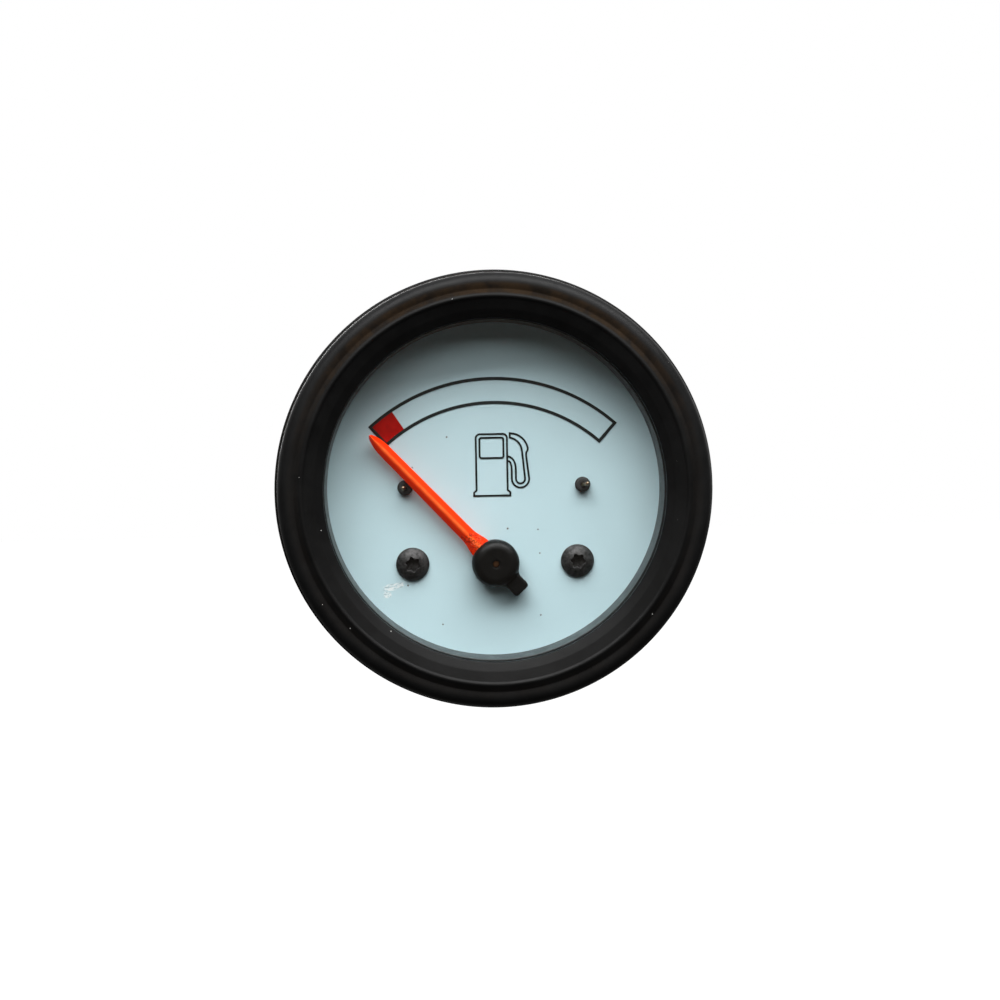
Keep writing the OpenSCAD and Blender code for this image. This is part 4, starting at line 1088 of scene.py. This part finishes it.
for body, material, width, names in (
    ("gauge_body", ZINC, 0.12, ["case_shell"]),
    ("gauge_body", ZINC, 0.08, ["stud_washers", "spacer_tubes", "shield_ring"]),
    ("gauge_body", LAMINATE, 0.1, ["terminal_board"]),
    ("gauge_body", BRASS, 0.08, ["terminal_blades", "coil_pins", "shaft_bushes"]),
    ("gauge_body", RIVET, 0.25, ["board_rivets"]),
    ("gauge_body", CREAM, 0.1, ["former_front", "former_rear"]),
    ("gauge_body", COPPER_X, 0.3, ["coil_inner"]),
    ("gauge_body", COPPER_Z, 0.3, ["coil_outer"]),
    ("gauge_body", BOARD, 0.06, ["circuit_board"]),
    ("gauge_body", RESISTOR, 0.3, ["resistors"]),
    ("pointer", MAGNET, 0.15, ["rotor_magnet"]),
    ("bracket", ZINC, 0.15, ["mounting_bracket"]),
    ("bracket", ZINC, 0.08, ["bracket_washers"]),
    ("lamp", HOLDER, 0.15, ["lamp_holder"]),
    ("lamp", BRASS, 0.08, ["lamp_contacts"]),
    ("lamp", HOLDER, 0.1, ["bulb_cap"]),
    ("lamp", BULB, 0.1, ["bulb_glass"]),
):
    for node in names:
        piece = merged_copy(node)
        round_edges(piece, width)
        dress(piece, material, body, [node])


# Studio: floor, white surroundings, softboxes and camera


def floor_finish():
    """Pale floor: white to the camera and through glass, dim in reflections, with a true shadow."""
    material, tree, shader, place = start("pale floor", Roughness=0.9)
    path = tree.nodes.new("ShaderNodeLightPath").outputs
    tone = use(tree, PATCHY, place, Size=3.0)
    pale = mix_colour(tree, tone, (0.24, 0.24, 0.235), (0.26, 0.26, 0.255))
    base = mix_colour(tree, path["Is Camera Ray"], (0.05, 0.05, 0.048), pale)
    fill(tree, shader, {"Base Color": base})
    behind = ramp(tree, along(tree, place, "Y"), 0.0, 0.3)
    glossy = times(tree, path["Is Glossy Ray"], 0.12)
    seen = calc(tree, "MAXIMUM", glossy, path["Is Transmission Ray"])
    seen = calc(tree, "MAXIMUM", times(tree, seen, behind), path["Is Camera Ray"])
    strength = times(tree, seen, ramp(tree, length(tree, place), 0.4, 0.9, 0.86, 1.0))
    glow = add(tree, "ShaderNodeEmission", Color=(1.0, 1.0, 1.0, 1.0), Strength=strength)
    both = add(tree, "ShaderNodeAddShader", i0=shader.outputs[0], i1=glow.outputs[0])
    tree.links.new(both.outputs[0], tree.nodes["Material Output"].inputs["Surface"])
    return material


FLOOR_HALF = 4.0
FLOOR_Z = -0.30
floor_mesh = bpy.data.meshes.new("studio_floor")
floor_mesh.from_pydata(
    [(x * FLOOR_HALF, y * FLOOR_HALF, FLOOR_Z) for x, y in ((-1, -1), (1, -1), (1, 1), (-1, 1))],
    [], [(0, 1, 2, 3)],
)
floor = bpy.data.objects.new("studio_floor", floor_mesh)
bpy.context.scene.collection.objects.link(floor)
floor_mesh.materials.append(floor_finish())


def white_room():
    """White to the camera; as light it is dim in front of the dial and bright behind the gauge.

    Mirrored, its part above and far in front is a warm glow.
    """
    world = bpy.data.worlds.new("white room")
    bpy.context.scene.world = world
    world.use_nodes = True
    tree = world.node_tree
    direction = tree.nodes.new("ShaderNodeTexCoord").outputs["Generated"]
    path = tree.nodes.new("ShaderNodeLightPath").outputs
    seen, through = path["Is Camera Ray"], path["Is Transmission Ray"]
    behind = ramp(tree, along(tree, direction, "Y"), 0.0, 0.7)
    ahead = ramp(tree, along(tree, direction, "Y"), -0.6, -0.9)
    above = ramp(tree, along(tree, direction, "Z"), -0.05, 0.45, 0.07, 0.34)
    diffuse = ramp(tree, behind, 0.0, 1.0, 0.004, 0.45, smooth=False)
    mirrored = ramp(tree, behind, 0.0, 1.0, 0.025, 1.0, smooth=False)
    mirrored = calc(tree, "MAXIMUM", mirrored, times(tree, ahead, above))
    mirror = calc(tree, "SUBTRACT", path["Is Glossy Ray"], through, clamp=True)
    strength = calc(tree, "MAXIMUM", diffuse, times(tree, mirror, mirrored))
    strength = calc(tree, "MAXIMUM", strength, times(tree, through, behind))
    strength = calc(tree, "MAXIMUM", strength, seen)
    warm = times(tree, ahead, calc(tree, "SUBTRACT", 1.0, seen))
    tint = mix_colour(tree, warm, (1.0, 1.0, 1.0), (1.0, 0.8, 0.62))
    fill(tree, tree.nodes["Background"], {"Color": tint, "Strength": strength})


white_room()


def softbox(name, place, aim, width, height, power):
    """A rectangular lamp of some watts at a place in metres that faces a point."""
    data = bpy.data.lights.new(name, "AREA")
    data.shape = "RECTANGLE"
    data.size, data.size_y = width, height
    data.energy = power
    lamp = bpy.data.objects.new(name, data)
    lamp.location = place
    lamp.rotation_euler = (Vector(aim) - Vector(place)).to_track_quat("-Z", "Y").to_euler()
    bpy.context.scene.collection.objects.link(lamp)


def from_dial(turn, rise, distance):
    """A place seen from the dial: degrees right of upright, and in front of the dial's plane."""
    turn, rise = math.radians(turn), math.radians(rise)
    return (
        distance * math.sin(turn) * math.cos(rise),
        -distance * math.sin(rise),
        distance * math.cos(turn) * math.cos(rise),
    )


softbox("top_softbox", from_dial(4, 25, 0.5), (0, 0, 0), 0.95, 0.27, 8.2)
softbox("front_softbox", from_dial(4, 51, 0.5), (0, 0, 0), 0.75, 0.26, 1.15)
softbox("rear_softbox", (-0.08, 0.6, 0.14), (0, 0.03, 0), 0.4, 0.3, 2.6)

CAMERA_AT = Vector((-0.0115, -0.2517, 0.0125))
CAMERA_AIM = Vector((0.0007, -0.0025, -0.0014))
CAMERA_ROLL = math.radians(-1.0)
camera_data = bpy.data.cameras.new("photograph_camera")
camera_data.lens = 65.7
camera_data.sensor_width = 36.0
camera_data.clip_start, camera_data.clip_end = 0.01, 20.0
camera = bpy.data.objects.new("photograph_camera", camera_data)
look = (CAMERA_AIM - CAMERA_AT).to_track_quat("-Z", "Y").to_matrix().to_4x4()
roll = Matrix.Rotation(CAMERA_ROLL, 4, "Z")
camera.matrix_world = Matrix.Translation(CAMERA_AT) @ look @ roll
bpy.context.scene.collection.objects.link(camera)
bpy.context.scene.camera = camera
bpy.context.scene.view_settings.view_transform = "Standard"
